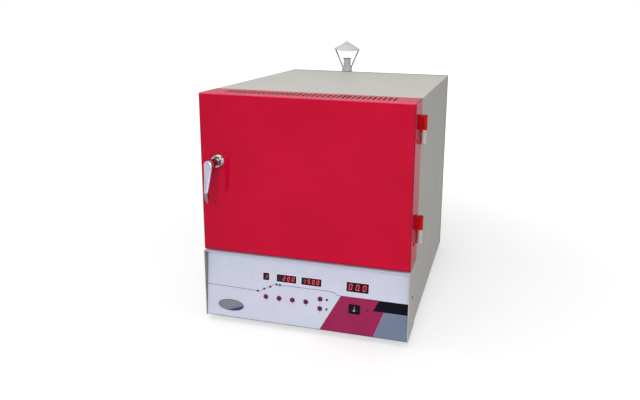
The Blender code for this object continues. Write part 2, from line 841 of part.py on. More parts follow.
def rear_bores(start_y):
    """Cutter for the flue and the thermocouple, through the muffle's back and the rear board."""
    shape = bmesh.new()
    length = board_back_y + overrun - start_y
    rod(shape, round_bore(duct_radius + flue_clearance), length, along_y(flue_x, start_y, flue_z))
    rod(shape, round_bore(probe_radius + probe_clearance), length, along_y(0, start_y, probe_z))
    return shape


def element_path(x):
    """Wire that runs to and fro beside the muffle, with both ends out at the back."""
    heights = spread(element_runs, -element_run_pitch, chamber_z)
    front = muffle_front_y + element_inset + element_run_pitch / 2
    back = muffle_back_y - element_inset - element_run_pitch / 2
    end = board_back_y + element_tail
    points = [Vector((x, end, heights[0]))]
    for index in range(element_runs - 1):
        centre_z = (heights[index] + heights[index + 1]) / 2
        forward = index % 2 == 0
        turn = arc((0, 0), element_run_pitch / 2, math.pi / 2, -math.pi / 2, bend_steps)
        for along, height in turn:
            y = front - along if forward else back + along
            points.append(Vector((x, y, centre_z + height)))
    points.append(Vector((x, end, heights[-1])))
    return points


def build_heating(parent, paints):
    """The two heating elements and the thermocouple."""
    reach = muffle_half_x + fit_gap + element_radius
    for side, x in (("left", -reach), ("right", reach)):
        shape = bmesh.new()
        sweep(shape, element_path(x), element_radius, element_sides)
        add_object(f"heating_element_{side}", shape, paints["element"], parent, smooth=True)

    shape = bmesh.new()
    tip_y = chamber_back_y - probe_reach
    head_y = board_back_y + fit_gap
    head_radius = round_bore(probe_head_width / 2, 6)
    length = head_y - tip_y
    profile = [(0, 0), (probe_radius, probe_radius), (probe_radius, length), (head_radius, length),
               (head_radius, length + probe_head_depth), (0, length + probe_head_depth)]
    lathe(shape, profile, small_sides, along_y(0, tip_y, probe_z))
    add_object("thermocouple", shape, paints["steel"], parent)


def build_chimney(parent, paints):
    """The flue out of the muffle and the chimney that rises behind the case."""
    shape = bmesh.new()
    start = chamber_back_y + fit_gap
    profile = tube_profile(duct_radius, duct_radius - duct_wall, 0, back_y - start)
    lathe(shape, profile, round_sides, along_y(flue_x, start, flue_z), closed=True)
    add_object("flue_duct", shape, paints["steel"], parent, smooth=True)

    half = elbow_flange_size / 2
    flange_y = back_y + fit_gap
    shape = box_shape((flue_x - half, flange_y, flue_z - half),
                      (flue_x + half, flange_y + elbow_flange_thickness, flue_z + half))
    elbow = add_object("flue_elbow", shape, paints["steel"], parent, smooth=True)
    holes = bmesh.new()
    rod(holes, elbow_radius - elbow_wall / 2, 2 * overrun, along_y(flue_x, flange_y - overrun, flue_z))
    for x, z in flange_screw_places():
        screw_hole(holes, along_y(x, flange_y, z))
    boolean(elbow, holes)
    path = [Vector((flue_x, flange_y, flue_z))]
    bend_y = stack_y - elbow_bend_radius
    for y, z in arc((bend_y, flue_z + elbow_bend_radius), elbow_bend_radius, -math.pi / 2, 0, elbow_bend_steps):
        path.append(Vector((flue_x, y, z)))
    path.append(Vector((flue_x, stack_y, riser_top_z)))
    pipe = bmesh.new()
    sweep(pipe, path, elbow_radius, pipe_sides, elbow_radius - elbow_wall)
    boolean(elbow, pipe, "UNION")

    shape = bmesh.new()
    riser_bore = round_bore(elbow_radius + fit_gap, pipe_sides)
    stack_bore = round_bore(stack_radius + fit_gap, pipe_sides)
    seat_z = collar_top_z - stack_seat
    profile = [(collar_radius, collar_foot_z), (collar_radius, collar_top_z - collar_shoulder),
               (stack_bore + stack_wall, collar_top_z), (stack_bore, collar_top_z), (stack_bore, seat_z),
               (riser_bore, seat_z), (riser_bore, collar_foot_z)]
    lathe(shape, profile, pipe_sides, along_z(flue_x, stack_y, 0), closed=True)
    add_object("stack_collar", shape, paints["steel"], parent, smooth=True)

    shape = bmesh.new()
    tube_top = collar_top_z + stack_rise
    lip_z = tube_top - stack_lip_height
    profile = [(stack_radius, seat_z), (stack_radius, lip_z), (stack_lip_radius, tube_top),
               (stack_lip_radius - stack_wall, tube_top), (stack_radius - stack_wall, lip_z),
               (stack_radius - stack_wall, seat_z)]
    lathe(shape, profile, pipe_sides, along_z(flue_x, stack_y, 0), closed=True)
    add_object("stack_tube", shape, paints["steel"], parent, smooth=True)

    cap_slope = math.atan2(cap_height, cap_radius)
    cap_drop = cap_sheet / math.cos(cap_slope)
    shape = bmesh.new()
    profile = [(0, cap_apex_z), (cap_radius, cap_rim_z), (cap_radius, cap_rim_z - cap_drop),
               (0, cap_apex_z - cap_drop)]
    lathe(shape, profile, round_sides, along_z(flue_x, stack_y, 0))
    cap = add_object("chimney_cap", shape, paints["steel"], parent, smooth=True)
    shoulder_run = collar_radius - stack_bore - stack_wall
    shoulder_slope = math.atan2(collar_shoulder, shoulder_run)
    foot_out = collar_radius - shoulder_run / 2
    foot_up = collar_top_z - collar_shoulder / 2
    top_out = cap_radius - strut_inset
    top_up = cap_apex_z - cap_height * top_out / cap_radius - cap_drop / 2
    lean = math.atan2(top_out - foot_out, top_up - foot_up)
    lift = fit_gap + strut_radius * math.sin(shoulder_slope - lean)
    struts = bmesh.new()
    for side in (-1, 1):
        foot = Vector((flue_x + side * (foot_out + lift * math.sin(shoulder_slope)), stack_y,
                       foot_up + lift * math.cos(shoulder_slope)))
        sweep(struts, [foot, Vector((flue_x + side * top_out, stack_y, top_up))], strut_radius, small_sides)
    boolean(cap, struts, "UNION")


def build_door_shell(parent, paints):
    """The red door shell, with its cooling slots above and its air inlets below."""
    shape = box_shape((-half_width, 0, door_z), (half_width, door_thickness, top_z))
    soft = [edge for edge in shape.edges if min(vert.co.y for vert in edge.verts) == 0]
    bmesh.ops.bevel(shape, geom=soft, offset=door_edge_radius, segments=door_edge_steps,
                    profile=round_profile_share, affect="EDGES")
    shell = add_object("door_shell", shape, paints["red"], parent, at_door, smooth=True)
    boolean(shell, box_shape((door_sheet - half_width, door_sheet, door_z + door_sheet),
                             (half_width - door_sheet, door_thickness + overrun, top_z - door_sheet)))
    holes = bmesh.new()
    for x in spread(slot_count, slot_pitch):
        box(holes, (x - slot_width / 2, slot_front, top_z - overrun),
            (x + slot_width / 2, slot_front + slot_length, top_z + overrun))
    for x in spread(inlet_count, inlet_pitch):
        box(holes, (x - inlet_length / 2, slot_front, door_z - overrun),
            (x + inlet_length / 2, slot_front + slot_width, door_z + overrun))
    rod(holes, round_bore(shaft_radius + shaft_clearance), 2 * overrun, along_y(handle_x, -overrun, handle_z))
    for place in side_bolt_places():
        screw_hole(holes, place)
    boolean(shell, holes)


def build_door_back(parent, paints):
    """The door's back panel, which is screwed to the flange of the insulation tray."""
    edge = half_width - door_sheet - fit_gap
    low = door_z + door_sheet + fit_gap
    high = top_z - door_sheet - fit_gap
    shape = box_shape((-edge, back_panel_y - back_panel_flange, low), (edge, back_panel_y, high))
    back = add_object("door_back_panel", shape, paints["zinc"], parent, at_door)
    boolean(back, box_shape((door_sheet - edge, back_panel_y - back_panel_flange - overrun, low + door_sheet),
                            (edge - door_sheet, back_panel_y - door_sheet, high - door_sheet)))
    holes = bmesh.new()
    window_x = plug_half_x + fit_gap
    window_z = plug_half_z + fit_gap
    box(holes, (-window_x, back_panel_y - overrun, chamber_z - window_z),
        (window_x, back_panel_y + overrun, chamber_z + window_z))
    shaft_hole = round_bore(shaft_radius + shaft_clearance)
    rod(holes, shaft_hole, 2 * overrun, along_y(handle_x, back_panel_y - overrun, handle_z))
    for x, z in tray_screw_places():
        screw_hole(holes, along_y(x, back_panel_y, z))
    boolean(back, holes)


def build_door_lining(parent, paints):
    """The tray in the door, the insulation with its plug that the tray holds, and the gasket."""
    shape = box_shape((-tray_half_x - tray_flange, tray_back_y - tray_sheet, chamber_z - tray_half_z - tray_flange),
                      (tray_half_x + tray_flange, tray_back_y, chamber_z + tray_half_z + tray_flange))
    tray = add_object("door_tray", shape, paints["zinc"], parent, at_door)
    boolean(tray, box_shape((-tray_half_x, tray_air_space, chamber_z - tray_half_z),
                            (tray_half_x, tray_back_y - tray_sheet / 2, chamber_z + tray_half_z)), "UNION")
    inner_x = tray_half_x - tray_sheet
    inner_z = tray_half_z - tray_sheet
    boolean(tray, box_shape((-inner_x, tray_air_space + tray_sheet, chamber_z - inner_z),
                            (inner_x, tray_back_y + overrun, chamber_z + inner_z)))
    holes = bmesh.new()
    for x, z in tray_screw_places():
        screw_hole(holes, along_y(x, tray_back_y, z))
    boolean(tray, holes)

    block_x = inner_x - fit_gap
    block_z = inner_z - fit_gap
    shape = box_shape((-block_x, tray_air_space + tray_sheet + fit_gap, chamber_z - block_z),
                      (block_x, tray_back_y, chamber_z + block_z))
    block = add_object("door_insulation", shape, paints["fibre"], parent, at_door)
    boolean(block, box_shape((-plug_half_x, tray_back_y - overrun, chamber_z - plug_half_z),
                             (plug_half_x, plug_back_y, chamber_z + plug_half_z)), "UNION")

    inner_x = plug_half_x + gasket_clearance
    inner_z = plug_half_z + gasket_clearance
    shape = box_shape((-inner_x - gasket_width, back_panel_y + fit_gap, chamber_z - inner_z - gasket_width),
                      (inner_x + gasket_width, muffle_front_y - fit_gap, chamber_z + inner_z + gasket_width))
    gasket = add_object("door_gasket", shape, paints["rope"], parent, at_door)
    boolean(gasket, box_shape((-inner_x, back_panel_y - overrun, chamber_z - inner_z),
                              (inner_x, muffle_front_y + overrun, chamber_z + inner_z)))


def build_hinges(parent, door, paints):
    """Two lift-off hinges: a red leaf on the door turns on the pin of a socket on the case."""
    bore = round_bore(pin_radius + fit_gap)
    for name, middle in hinge_levels:
        low = middle + fit_gap / 2
        high = middle + knuckle_length
        shape = bmesh.new()
        rod(shape, knuckle_radius, high - low, along_z(hinge_x, hinge_y, low))
        leaf = add_object(f"hinge_leaf_{name}", shape, paints["hinge_red"], door, at_door, smooth=True)
        boolean(leaf, box_shape((half_width + fit_gap, hinge_y - leaf_length, low + fit_gap),
                                (half_width + fit_gap + leaf_thickness, hinge_y, high - fit_gap)), "UNION")
        hole = bmesh.new()
        rod(hole, bore, high - low - pin_end + overrun, along_z(hinge_x, hinge_y, low - overrun))
        boolean(leaf, hole)

        foot = middle - knuckle_length
        head = middle - fit_gap / 2
        shape = bmesh.new()
        profile = [(knuckle_radius, foot), (knuckle_radius, head), (pin_radius, head),
                   (pin_radius, high - pin_end - fit_gap)]
        lathe(shape, profile, round_sides, along_z(hinge_x, hinge_y, 0))
        socket = add_object(f"hinge_socket_{name}", shape, paints["case"], parent, smooth=True)
        boolean(socket, box_shape((half_width + fit_gap, hinge_y, foot + fit_gap),
                                  (half_width + fit_gap + socket_leaf_thickness, hinge_y + socket_leaf_length,
                                   head - fit_gap)), "UNION")
    for (name, middle), place in zip(hinge_levels, side_bolt_places()):
        build_screw(f"door_bolt_{name}", place, paints["hinge_red"], door, at_door)


def side_bolt_places():
    """The bolt ahead of each hinge, on the door's right side."""
    return [along_x(half_width, bolt_setback, middle - bolt_drop) for name, middle in hinge_levels]


def tray_screw_places():
    """Screws that hold the door's back panel to the flange of its insulation tray."""
    reach_x = tray_half_x + tray_flange / 2
    reach_z = tray_half_z + tray_flange / 2
    places = [(x, chamber_z + side * reach_z) for side in (-1, 1) for x in (-tray_half_x, 0, tray_half_x)]
    return places + [(side * reach_x, chamber_z) for side in (-1, 1)]


def lever_section(z):
    """Width, thickness and standoff of the lever at a height below or above its axis."""
    head = lever_head_width / 2
    neck = -lever_length * lever_neck_share
    if z >= 0:
        round_share = math.sqrt(max(1 - (z / head) ** 2, 0))
        return lever_head_width * round_share, lever_head_thickness * math.sqrt(round_share), 0.0
    if z >= neck:
        share = z / neck
        width = lever_head_width + (lever_neck_width - lever_head_width) * share
        thickness = lever_head_thickness + (lever_neck_thickness - lever_head_thickness) * share
        return width, thickness, -lever_flare * share ** lever_flare_power
    share = (neck - z) / (lever_length + neck)
    width = lever_neck_width + (lever_tip_width - lever_neck_width) * share ** 2
    thickness = lever_neck_thickness + (lever_tip_thickness - lever_neck_thickness) * share
    return width, thickness, lever_hook * share ** lever_hook_power - lever_flare


def build_handle(door, handle, paints):
    """The lever handle, its stem and escutcheon, and the latch that it turns."""
    shape = bmesh.new()
    stem_bore = round_bore(stem_radius + fit_gap)
    profile = [(escutcheon_radius, -fit_gap), (escutcheon_radius, -escutcheon_height / 4),
               (escutcheon_top_radius, -escutcheon_height), (stem_bore, -escutcheon_height),
               (stem_bore, -fit_gap)]
    lathe(shape, profile, round_sides, along_y(handle_x, 0, handle_z), closed=True)
    add_object("handle_escutcheon", shape, paints["chrome"], door, at_door, smooth=True)

    shape = bmesh.new()
    stem_foot = -2 * fit_gap
    shaft_bore = round_bore(shaft_radius + fit_gap)
    bore_end = stem_foot - stem_bore_depth
    profile = [(0, -stem_length), (stem_radius, -stem_length), (stem_radius, stem_foot),
               (shaft_bore, stem_foot), (shaft_bore, bore_end), (0, bore_end)]
    lathe(shape, profile, round_sides, along_y(0, 0, 0))
    add_object("handle_stem", shape, paints["chrome"], handle, smooth=True)

    shape = bmesh.new()
    head = lever_head_width / 2
    heights = [head * share for share in lever_head_shares]
    heights += [-lever_length * lever_neck_share * step / lever_steps for step in range(lever_steps + 1)]
    heights += [-lever_length * (lever_neck_share + (1 - lever_neck_share) * step / lever_steps)
                for step in range(1, lever_steps + 1)]
    rings = []
    for z in heights:
        width, thickness, standoff = lever_section(z)
        ring = []
        for side in range(lever_sides):
            angle = math.tau * side / lever_sides
            ring.append(shape.verts.new((width / 2 * math.cos(angle),
                                         lever_middle_y + standoff + thickness / 2 * math.sin(angle), z)))
        rings.append(ring)
    for index in range(len(rings) - 1):
        bridge(shape, rings[index], rings[index + 1])
    shape.faces.new(rings[0])
    shape.faces.new(rings[-1])
    add_object("handle_lever", shape, paints["chrome"], handle, smooth=True)

    shape = bmesh.new()
    shaft_start = bore_end + fit_gap
    dog_end = dog_front_y + dog_thickness
    profile = [(shaft_radius, shaft_start), (shaft_radius, dog_front_y), (dog_hub_radius, dog_front_y),
               (dog_hub_radius, dog_end)]
    lathe(shape, profile, round_sides, along_y(0, 0, 0))
    shaft = add_object("latch_shaft", shape, paints["steel"], handle, smooth=True)
    boolean(shaft, box_shape((-dog_width / 2, dog_front_y, -dog_length), (dog_width / 2, dog_end, 0)), "UNION")


def display_places():
    """Name, middle, width and height of each display."""
    return [
        ("program_display", program_display_x, program_display_width, small_display_height),
        ("setpoint_display", setpoint_display_x, four_digit_width, small_display_height),
        ("time_display", time_display_x, four_digit_width, small_display_height),
        ("chamber_display", chamber_display_x, chamber_display_width, chamber_display_height),
    ]


def button_places():
    """Place of each button on the panel: a row, then one above and one below it."""
    places = [(button_first_x + index * button_pitch, button_row) for index in range(button_row_count)]
    return places + [(button_column_x, button_row + side * button_column_spread) for side in (1, -1)]


def lamp_places():
    """Lamps along the printed firing curve, beside the last two buttons and beside the switch."""
    places = []
    for share in profile_slope_shares:
        places.append((profile_first_x + (profile_last_x - profile_first_x) * share,
                       profile_low + (profile_high - profile_low) * share))
    places.append((profile_hold_x, profile_high))
    places += [(status_lamp_x, button_row + side * button_column_spread) for side in (1, -1)]
    return places + [(power_lamp_x, switch_row + lamp_radius / 2)]


def panel_openings():
    """Cutter for every opening in the panel and its printed overlay, in the panel's own axes."""
    shape = bmesh.new()
    for name, x, width, height in display_places():
        half = width / 2 + cutout_clearance
        tall = height / 2 + cutout_clearance
        box(shape, (x - half, -overrun, display_row - tall), (x + half, overrun, display_row + tall))
    for x, row in button_places():
        radius = round_bore(button_radius + button_clearance, button_sides)
        rod(shape, radius, 2 * overrun, along_y(x, -overrun, row), button_sides)
    for x, row in lamp_places():
        radius = round_bore(lamp_radius + cutout_clearance, small_sides)
        rod(shape, radius, 2 * overrun, along_y(x, -overrun, row), small_sides)
    half = switch_body_width / 2 + cutout_clearance
    tall = switch_body_height / 2 + cutout_clearance
    box(shape, (switch_x - half, -overrun, switch_row - tall), (switch_x + half, overrun, switch_row + tall))
    return shape


def build_panel(parent, tilted, paints):
    """The leaning control panel, its printed overlay, the displays and the plain badge."""
    foot_y = panel_foot_setback
    head_y = panel_foot_setback + panel_lean
    head_z = ledge_z - case_sheet - fit_gap
    outline = [(head_y + panel_flange, head_z), (head_y, head_z), (foot_y, panel_foot_z),
               (foot_y + panel_lip, panel_foot_z), (foot_y + panel_lip, body_z - fit_gap)]
    shape = bmesh.new()
    folded_sheet(shape, outline, case_sheet, -panel_half, panel_half, "YZ")
    panel = add_object("control_panel", shape, paints["panel"], parent)
    tool = boolean(panel, panel_openings())
    tool.parent = tilted

    overlay_half = inner_half - overlay_side_margin
    overlay = add_object("panel_overlay", box_shape(
        (-overlay_half, overlay_front, overlay_foot_margin),
        (overlay_half, overlay_back, panel_slope - overlay_top_margin)), paints["overlay"], tilted)
    boolean(overlay, panel_openings())

    for name, x, width, height in display_places():
        display = add_object(name, box_shape((x - width / 2, overlay_front, display_row - height / 2),
                                             (x + width / 2, board_setback - fit_gap, display_row + height / 2)),
                             paints["display"], tilted)
        boolean(display, box_shape(
            (x - width / 2 + display_rim, overlay_front - overrun, display_row - height / 2 + display_rim),
            (x + width / 2 - display_rim, overlay_front + display_recess, display_row + height / 2 - display_rim)))

    shape = bmesh.new()
    place = along_y(badge_x, overlay_front - fit_gap, badge_row) @ Matrix.Diagonal(
        (badge_width / 2, badge_height / 2, -badge_thickness, 1))
    lathe(shape, [(1, 0), (1, badge_edge_share), (1 - badge_thickness / badge_height, 1)], badge_sides, place)
    add_object("badge_plate", shape, paints["badge"], tilted)


def build_buttons(tilted, paints):
    """Six push buttons, each held behind the panel by its flange."""
    flange_y = case_sheet + fit_gap
    top = overlay_front - button_rise
    stem_end = board_setback - tact_height - button_travel - fit_gap
    profile = [(button_radius * share, top + button_dome * drop) for share, drop in button_dome_shares]
    profile += [(button_radius, flange_y), (button_flange_radius, flange_y),
                (button_flange_radius, flange_y + button_flange_thickness),
                (button_stem_radius, flange_y + button_flange_thickness), (button_stem_radius, stem_end)]
    for index, (x, row) in enumerate(button_places()):
        shape = bmesh.new()
        lathe(shape, profile, button_sides, along_y(0, 0, 0))
        add_object(f"button_{index + 1}", shape, paints["button"], tilted, (x, 0, row), smooth=True)


def build_switch(tilted, paints):
    """The power switch's body and the rocker in its pocket."""
    at = (switch_x, 0, switch_row)
    bezel_back = overlay_front - fit_gap
    bezel_front = bezel_back - bezel_thickness
    body = add_object("power_switch_body", box_shape((-bezel_width / 2, bezel_front, -bezel_height / 2),
                                                     (bezel_width / 2, bezel_back, bezel_height / 2)),
                      paints["black"], tilted, at)
    boolean(body, box_shape((-switch_body_width / 2, bezel_front + bezel_thickness / 2, -switch_body_height / 2),
                            (switch_body_width / 2, switch_body_depth, switch_body_height / 2)), "UNION")
    pocket_x = switch_body_width / 2 - pocket_margin
    pocket_z = switch_body_height / 2 - pocket_margin
    boolean(body, box_shape((-pocket_x, bezel_front - overrun, -pocket_z), (pocket_x, pocket_depth, pocket_z)))

    half = pocket_x - rocker_gap
    tall = pocket_z - rocker_swing_room
    proud = bezel_front - rocker_rise - rocker_pivot_depth
    outline = [(proud, tall), (proud + rocker_valley, 0), (proud, -tall), (0, -tall),
               (rocker_tail, -tall / 2), (rocker_tail, tall / 2), (0, tall)]
    shape = bmesh.new()
    prism(shape, outline, -half, half, "YZ")
    add_object("power_rocker", shape, paints["black"], tilted, (switch_x, rocker_pivot_depth, switch_row),
               (-rocker_tilt, 0, 0))


def build_electronics(parent, tilted, paints):
    """The control board with its lamps, and the transformer and relay on the base pan."""
    left = profile_first_x - lamp_radius - board_edge
    right = chamber_display_x + chamber_display_width / 2 + board_edge
    low = button_row - button_column_spread - board_band
    high = display_row + chamber_display_height / 2 + board_band
    board_back = board_setback + board_thickness
    board = add_object("control_board", box_shape((left, board_setback, low), (right, board_back, high)),
                       paints["board"], tilted)
    notch_x = switch_body_width / 2 + board_notch_margin
    boolean(board, box_shape((switch_x - notch_x, board_setback - overrun, low - overrun),
                             (switch_x + notch_x, board_back + overrun,
                              switch_row + switch_body_height / 2 + board_notch_margin)))
    parts = bmesh.new()
    spacer_start = case_sheet + fit_gap
    for x in (left + spacer_inset, right - spacer_inset):
        for row in (low + spacer_inset, high - spacer_inset):
            rod(parts, spacer_radius, board_setback + board_thickness / 2 - spacer_start,
                along_y(x, spacer_start, row), small_sides)
    for x, row in button_places():
        box(parts, (x - tact_size / 2, board_setback - tact_height, row - tact_size / 2),
            (x + tact_size / 2, board_setback + board_thickness / 2, row + tact_size / 2))
    for x, row in lamp_places():
        profile = [(lamp_radius * lamp_crown_share, overlay_front - lamp_rise),
                   (lamp_radius, overlay_front - lamp_rise * lamp_crown_share),
                   (lamp_radius, board_setback + board_thickness / 2)]
        lathe(parts, profile, small_sides, along_y(x, 0, row))
    for x in (setpoint_display_x, time_display_x):
        box(parts, (x - chip_length / 2, board_back - board_thickness / 2, button_row + chip_width),
            (x + chip_length / 2, board_back + chip_height, button_row + 2 * chip_width))
    boolean(board, parts, "UNION")

    floor = body_z + case_sheet + fit_gap
    middle = floor + core_height / 2
    core = add_object("transformer", box_shape(
        (transformer_x - core_width / 2, transformer_y - core_depth / 2, floor),
        (transformer_x + core_width / 2, transformer_y + core_depth / 2, floor + core_height)),
        paints["core"], parent)
    parts = bmesh.new()
    box(parts, (transformer_x - coil_width / 2, transformer_y - coil_depth / 2, middle - coil_height / 2),
        (transformer_x + coil_width / 2, transformer_y + coil_depth / 2, middle + coil_height / 2))
    boolean(core, parts, "UNION")
    parts = bmesh.new()
    foot_reach = core_width / 2 + transformer_foot
    box(parts, (transformer_x - foot_reach, transformer_y - core_depth / 3, floor),
        (transformer_x + foot_reach, transformer_y + core_depth / 3, floor + transformer_foot_thickness))
    boolean(core, parts, "UNION")

    shape = box_shape((relay_x - sink_width / 2, relay_y - sink_depth / 2, floor + fin_height),
                      (relay_x + sink_width / 2, relay_y + sink_depth / 2, floor + fin_height + sink_base))
    relay = add_object("power_relay", shape, paints["alloy"], parent)
    parts = bmesh.new()
    for x in spread(fin_count, (sink_width - fin_thickness) / (fin_count - 1), relay_x):
        box(parts, (x - fin_thickness / 2, relay_y - sink_depth / 2, floor),
            (x + fin_thickness / 2, relay_y + sink_depth / 2, floor + fin_height + sink_base / 2))
    relay_foot = floor + fin_height + sink_base / 2
    box(parts, (relay_x - relay_width / 2, relay_y - relay_depth / 2, relay_foot + sink_base / 4),
        (relay_x + relay_width / 2, relay_y + relay_depth / 2, relay_foot + sink_base / 2 + relay_height))
    boolean(relay, parts, "UNION")


def build_gland(parent, paints):
    """The cable gland in the rear cover, where the mains lead would enter."""
    shape = bmesh.new()
    profile = [(gland_radius, -gland_tail), (gland_radius, fit_gap), (gland_nut_radius, fit_gap),
               (gland_nut_radius, gland_nut_length), (gland_radius, gland_nut_length + gland_dome_length / 2),
               (gland_mouth_radius, gland_nut_length + gland_dome_length),
               (gland_bore_radius, gland_nut_length + gland_dome_length), (gland_bore_radius, -gland_tail)]
    lathe(shape, profile, pipe_sides, along_y(gland_x, back_y, body_z + gland_height), closed=True)
    add_object("cable_gland", shape, paints["black"], parent, smooth=True)


def build_cheek_screws(parent, paints):
    """The screw on each side of the console."""
    for side, place in zip(("left", "right"), cheek_screw_places()):
        build_screw(f"cheek_screw_{side}", place, paints["steel"], parent)


def make_paints():
    """The finishes of the pieces."""
    return {
        "case": paint("grey enamel", (0.58, 0.57, 0.54), 0.45),
        "panel": paint("pale enamel", (0.62, 0.63, 0.72), 0.4),
        "overlay": paint("printed polyester", (0.66, 0.67, 0.78), 0.35),
        "red": paint("red enamel", (0.58, 0.01, 0.04), 0.18),
        "hinge_red": paint("hinge enamel", (0.52, 0.01, 0.02), 0.3),
        "dark": paint("dark grey enamel", (0.09, 0.09, 0.10), 0.5),
        "zinc": paint("zinc plated steel", (0.55, 0.56, 0.58), 0.4, 1.0),
        "steel": paint("stainless steel", (0.56, 0.56, 0.57), 0.32, 1.0),
        "chrome": paint("chrome plate", (0.75, 0.76, 0.78), 0.08, 1.0),
        "alloy": paint("extruded alloy", (0.62, 0.63, 0.65), 0.4, 1.0),
        "rubber": paint("black rubber", (0.02, 0.02, 0.02), 0.8),
        "ceramic": paint("fired ceramic", (0.72, 0.66, 0.56), 0.85),
        "fibre": paint("ceramic fibre board", (0.83, 0.80, 0.74), 0.95),
        "rope": paint("woven fibre rope", (0.80, 0.78, 0.72), 0.95),
        "element": paint("oxidised heating wire", (0.18, 0.15, 0.13), 0.6, 1.0),
        "board": paint("circuit board lacquer", (0.02, 0.16, 0.07), 0.4),
        "core": paint("laminated core", (0.12, 0.11, 0.11), 0.5, 0.6),
        "display": paint("dark display window", (0.02, 0.005, 0.008), 0.12),
        "button": paint("button plastic", (0.20, 0.01, 0.07), 0.3),
        "black": paint("black plastic", (0.012, 0.012, 0.013), 0.35),
        "badge": paint("satin alloy", (0.60, 0.61, 0.64), 0.3, 1.0),
    }


def main():
    """Build the furnace."""
    clear_scene()
    paints = make_paints()
    furnace = empty("furnace_frame", None, shift)
    door = empty("door_axis", furnace, (hinge_x, hinge_y, 0))
    handle = empty("handle_axis", door, (handle_x - hinge_x, -hinge_y, handle_z))
    tilted = empty("panel_frame", furnace, (0, panel_foot_setback, panel_foot_z), (-panel_tilt, 0, 0))
    build_case(furnace, paints)
    build_feet(furnace, paints)
    build_rear_cover(furnace, paints)
    build_front_frame(furnace, paints)
    build_chamber(furnace, paints)
    build_heating(furnace, paints)
    build_chimney(furnace, paints)
    build_door_shell(door, paints)
    build_door_back(door, paints)
    build_door_lining(door, paints)
    build_hinges(furnace, door, paints)
    build_handle(door, handle, paints)
    build_panel(furnace, tilted, paints)
    build_buttons(tilted, paints)
    build_switch(tilted, paints)
    build_electronics(furnace, tilted, paints)
    build_gland(furnace, paints)
    build_cheek_screws(furnace, paints)


main()
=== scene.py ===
# %% [markdown]
# # A dental burnout furnace, dressed for its picture
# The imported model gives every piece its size, its place and the body that it moves with. This
# script adds the looks: finer shapes where an edge or a curve catches the light, and a finish
# for every surface. Lengths are in metres, as in Blender, so a size in millimetres is written
# as a number times `mm`, or inside `in_mm` where there are many.

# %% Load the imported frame
import json
import math

import bmesh
import bpy
from mathutils import Matrix, Vector

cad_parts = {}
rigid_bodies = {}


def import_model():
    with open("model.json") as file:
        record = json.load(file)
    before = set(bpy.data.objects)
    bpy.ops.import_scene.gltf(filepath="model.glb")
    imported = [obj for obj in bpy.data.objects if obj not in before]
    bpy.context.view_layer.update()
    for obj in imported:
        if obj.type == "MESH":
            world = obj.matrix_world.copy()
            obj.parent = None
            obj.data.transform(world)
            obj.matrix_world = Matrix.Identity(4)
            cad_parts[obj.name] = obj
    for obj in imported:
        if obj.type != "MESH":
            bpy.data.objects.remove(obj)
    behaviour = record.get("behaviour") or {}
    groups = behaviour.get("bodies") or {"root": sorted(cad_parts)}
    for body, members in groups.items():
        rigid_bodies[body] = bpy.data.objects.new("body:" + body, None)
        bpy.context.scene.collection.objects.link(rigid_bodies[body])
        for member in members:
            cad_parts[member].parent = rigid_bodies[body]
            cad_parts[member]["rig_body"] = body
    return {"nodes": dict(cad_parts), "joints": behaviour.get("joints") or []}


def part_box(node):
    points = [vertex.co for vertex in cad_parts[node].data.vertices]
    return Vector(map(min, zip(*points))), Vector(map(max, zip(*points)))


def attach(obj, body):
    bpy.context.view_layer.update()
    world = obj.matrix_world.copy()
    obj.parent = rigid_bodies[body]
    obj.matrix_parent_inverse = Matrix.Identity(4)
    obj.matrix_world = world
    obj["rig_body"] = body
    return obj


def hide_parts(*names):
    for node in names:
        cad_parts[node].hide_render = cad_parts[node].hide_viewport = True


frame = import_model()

mm = 0.001
scene = bpy.context.scene
nodes = frame["nodes"]
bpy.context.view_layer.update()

# %% [markdown]
# ## Places
# A furnace is laid out from a few planes: the middle of the door, the door's front face and the
# leaning console panel. Each place could be typed in again, but then it could drift from the
# model. So each one is read from the frame: a box gives a face, and a button's travel gives the
# lean of the panel.

# %% Planes and axes of the furnace
door_low, door_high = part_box("door_shell")
middle_x = (door_low.x + door_high.x) / 2
joints = {joint["name"]: joint for joint in frame["joints"]}

film_thickness = 0.4 * mm
film_foot = 0.8 * mm            # the printed film starts this far above the panel's lower edge
film_low, film_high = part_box("panel_overlay")
panel_into = Vector(joints["button_1_press"]["axis"]).normalized()
panel_up = Vector((0, -panel_into.z, panel_into.y))
film_corner = Vector((middle_x, film_low.y, film_low.z - film_thickness * panel_into.z))
panel_foot = film_corner - panel_up * film_foot
panel_place = Matrix.Translation(panel_foot) @ Matrix(
    ((1, 0, 0), panel_into, panel_up)).transposed().to_4x4()
print("the panel leans", round(math.degrees(math.asin(-panel_into.z)), 1), "degrees")

# %% [markdown]
# ## Helpers
# A handful of helpers keeps the rest short. One turns a colour as a person writes it into the
# linear light that a shader works in. One adds a node with its settings and its links. The
# others finish a mesh: they move it into its place, merge what meets, turn its faces outwards
# and hand it to the body that carries it.

# %% Colours and nodes
def linear(colour):
    """An sRGB hex value as the linear colour that a shader takes."""
    shares = [int(colour[start:start + 2], 16) / 255 for start in (1, 3, 5)]
    lights = [c / 12.92 if c <= 0.04045 else ((c + 0.055) / 1.055) ** 2.4 for c in shares]
    return (*lights, 1.0)


def add_node(tree, kind, inputs=None, **settings):
    """Add one node. Each input takes a value, the socket that feeds it, or a list of sockets."""
    node = tree.nodes.new(kind)
    for name, value in settings.items():
        setattr(node, name, value)
    for key, value in (inputs or {}).items():
        if isinstance(value, list):
            for source in value:
                tree.links.new(source, node.inputs[key])
        elif isinstance(value, bpy.types.NodeSocket):
            tree.links.new(value, node.inputs[key])
        else:
            node.inputs[key].default_value = value
    return node


print("a mid grey:", [round(value, 3) for value in linear("#808080")[:3]])

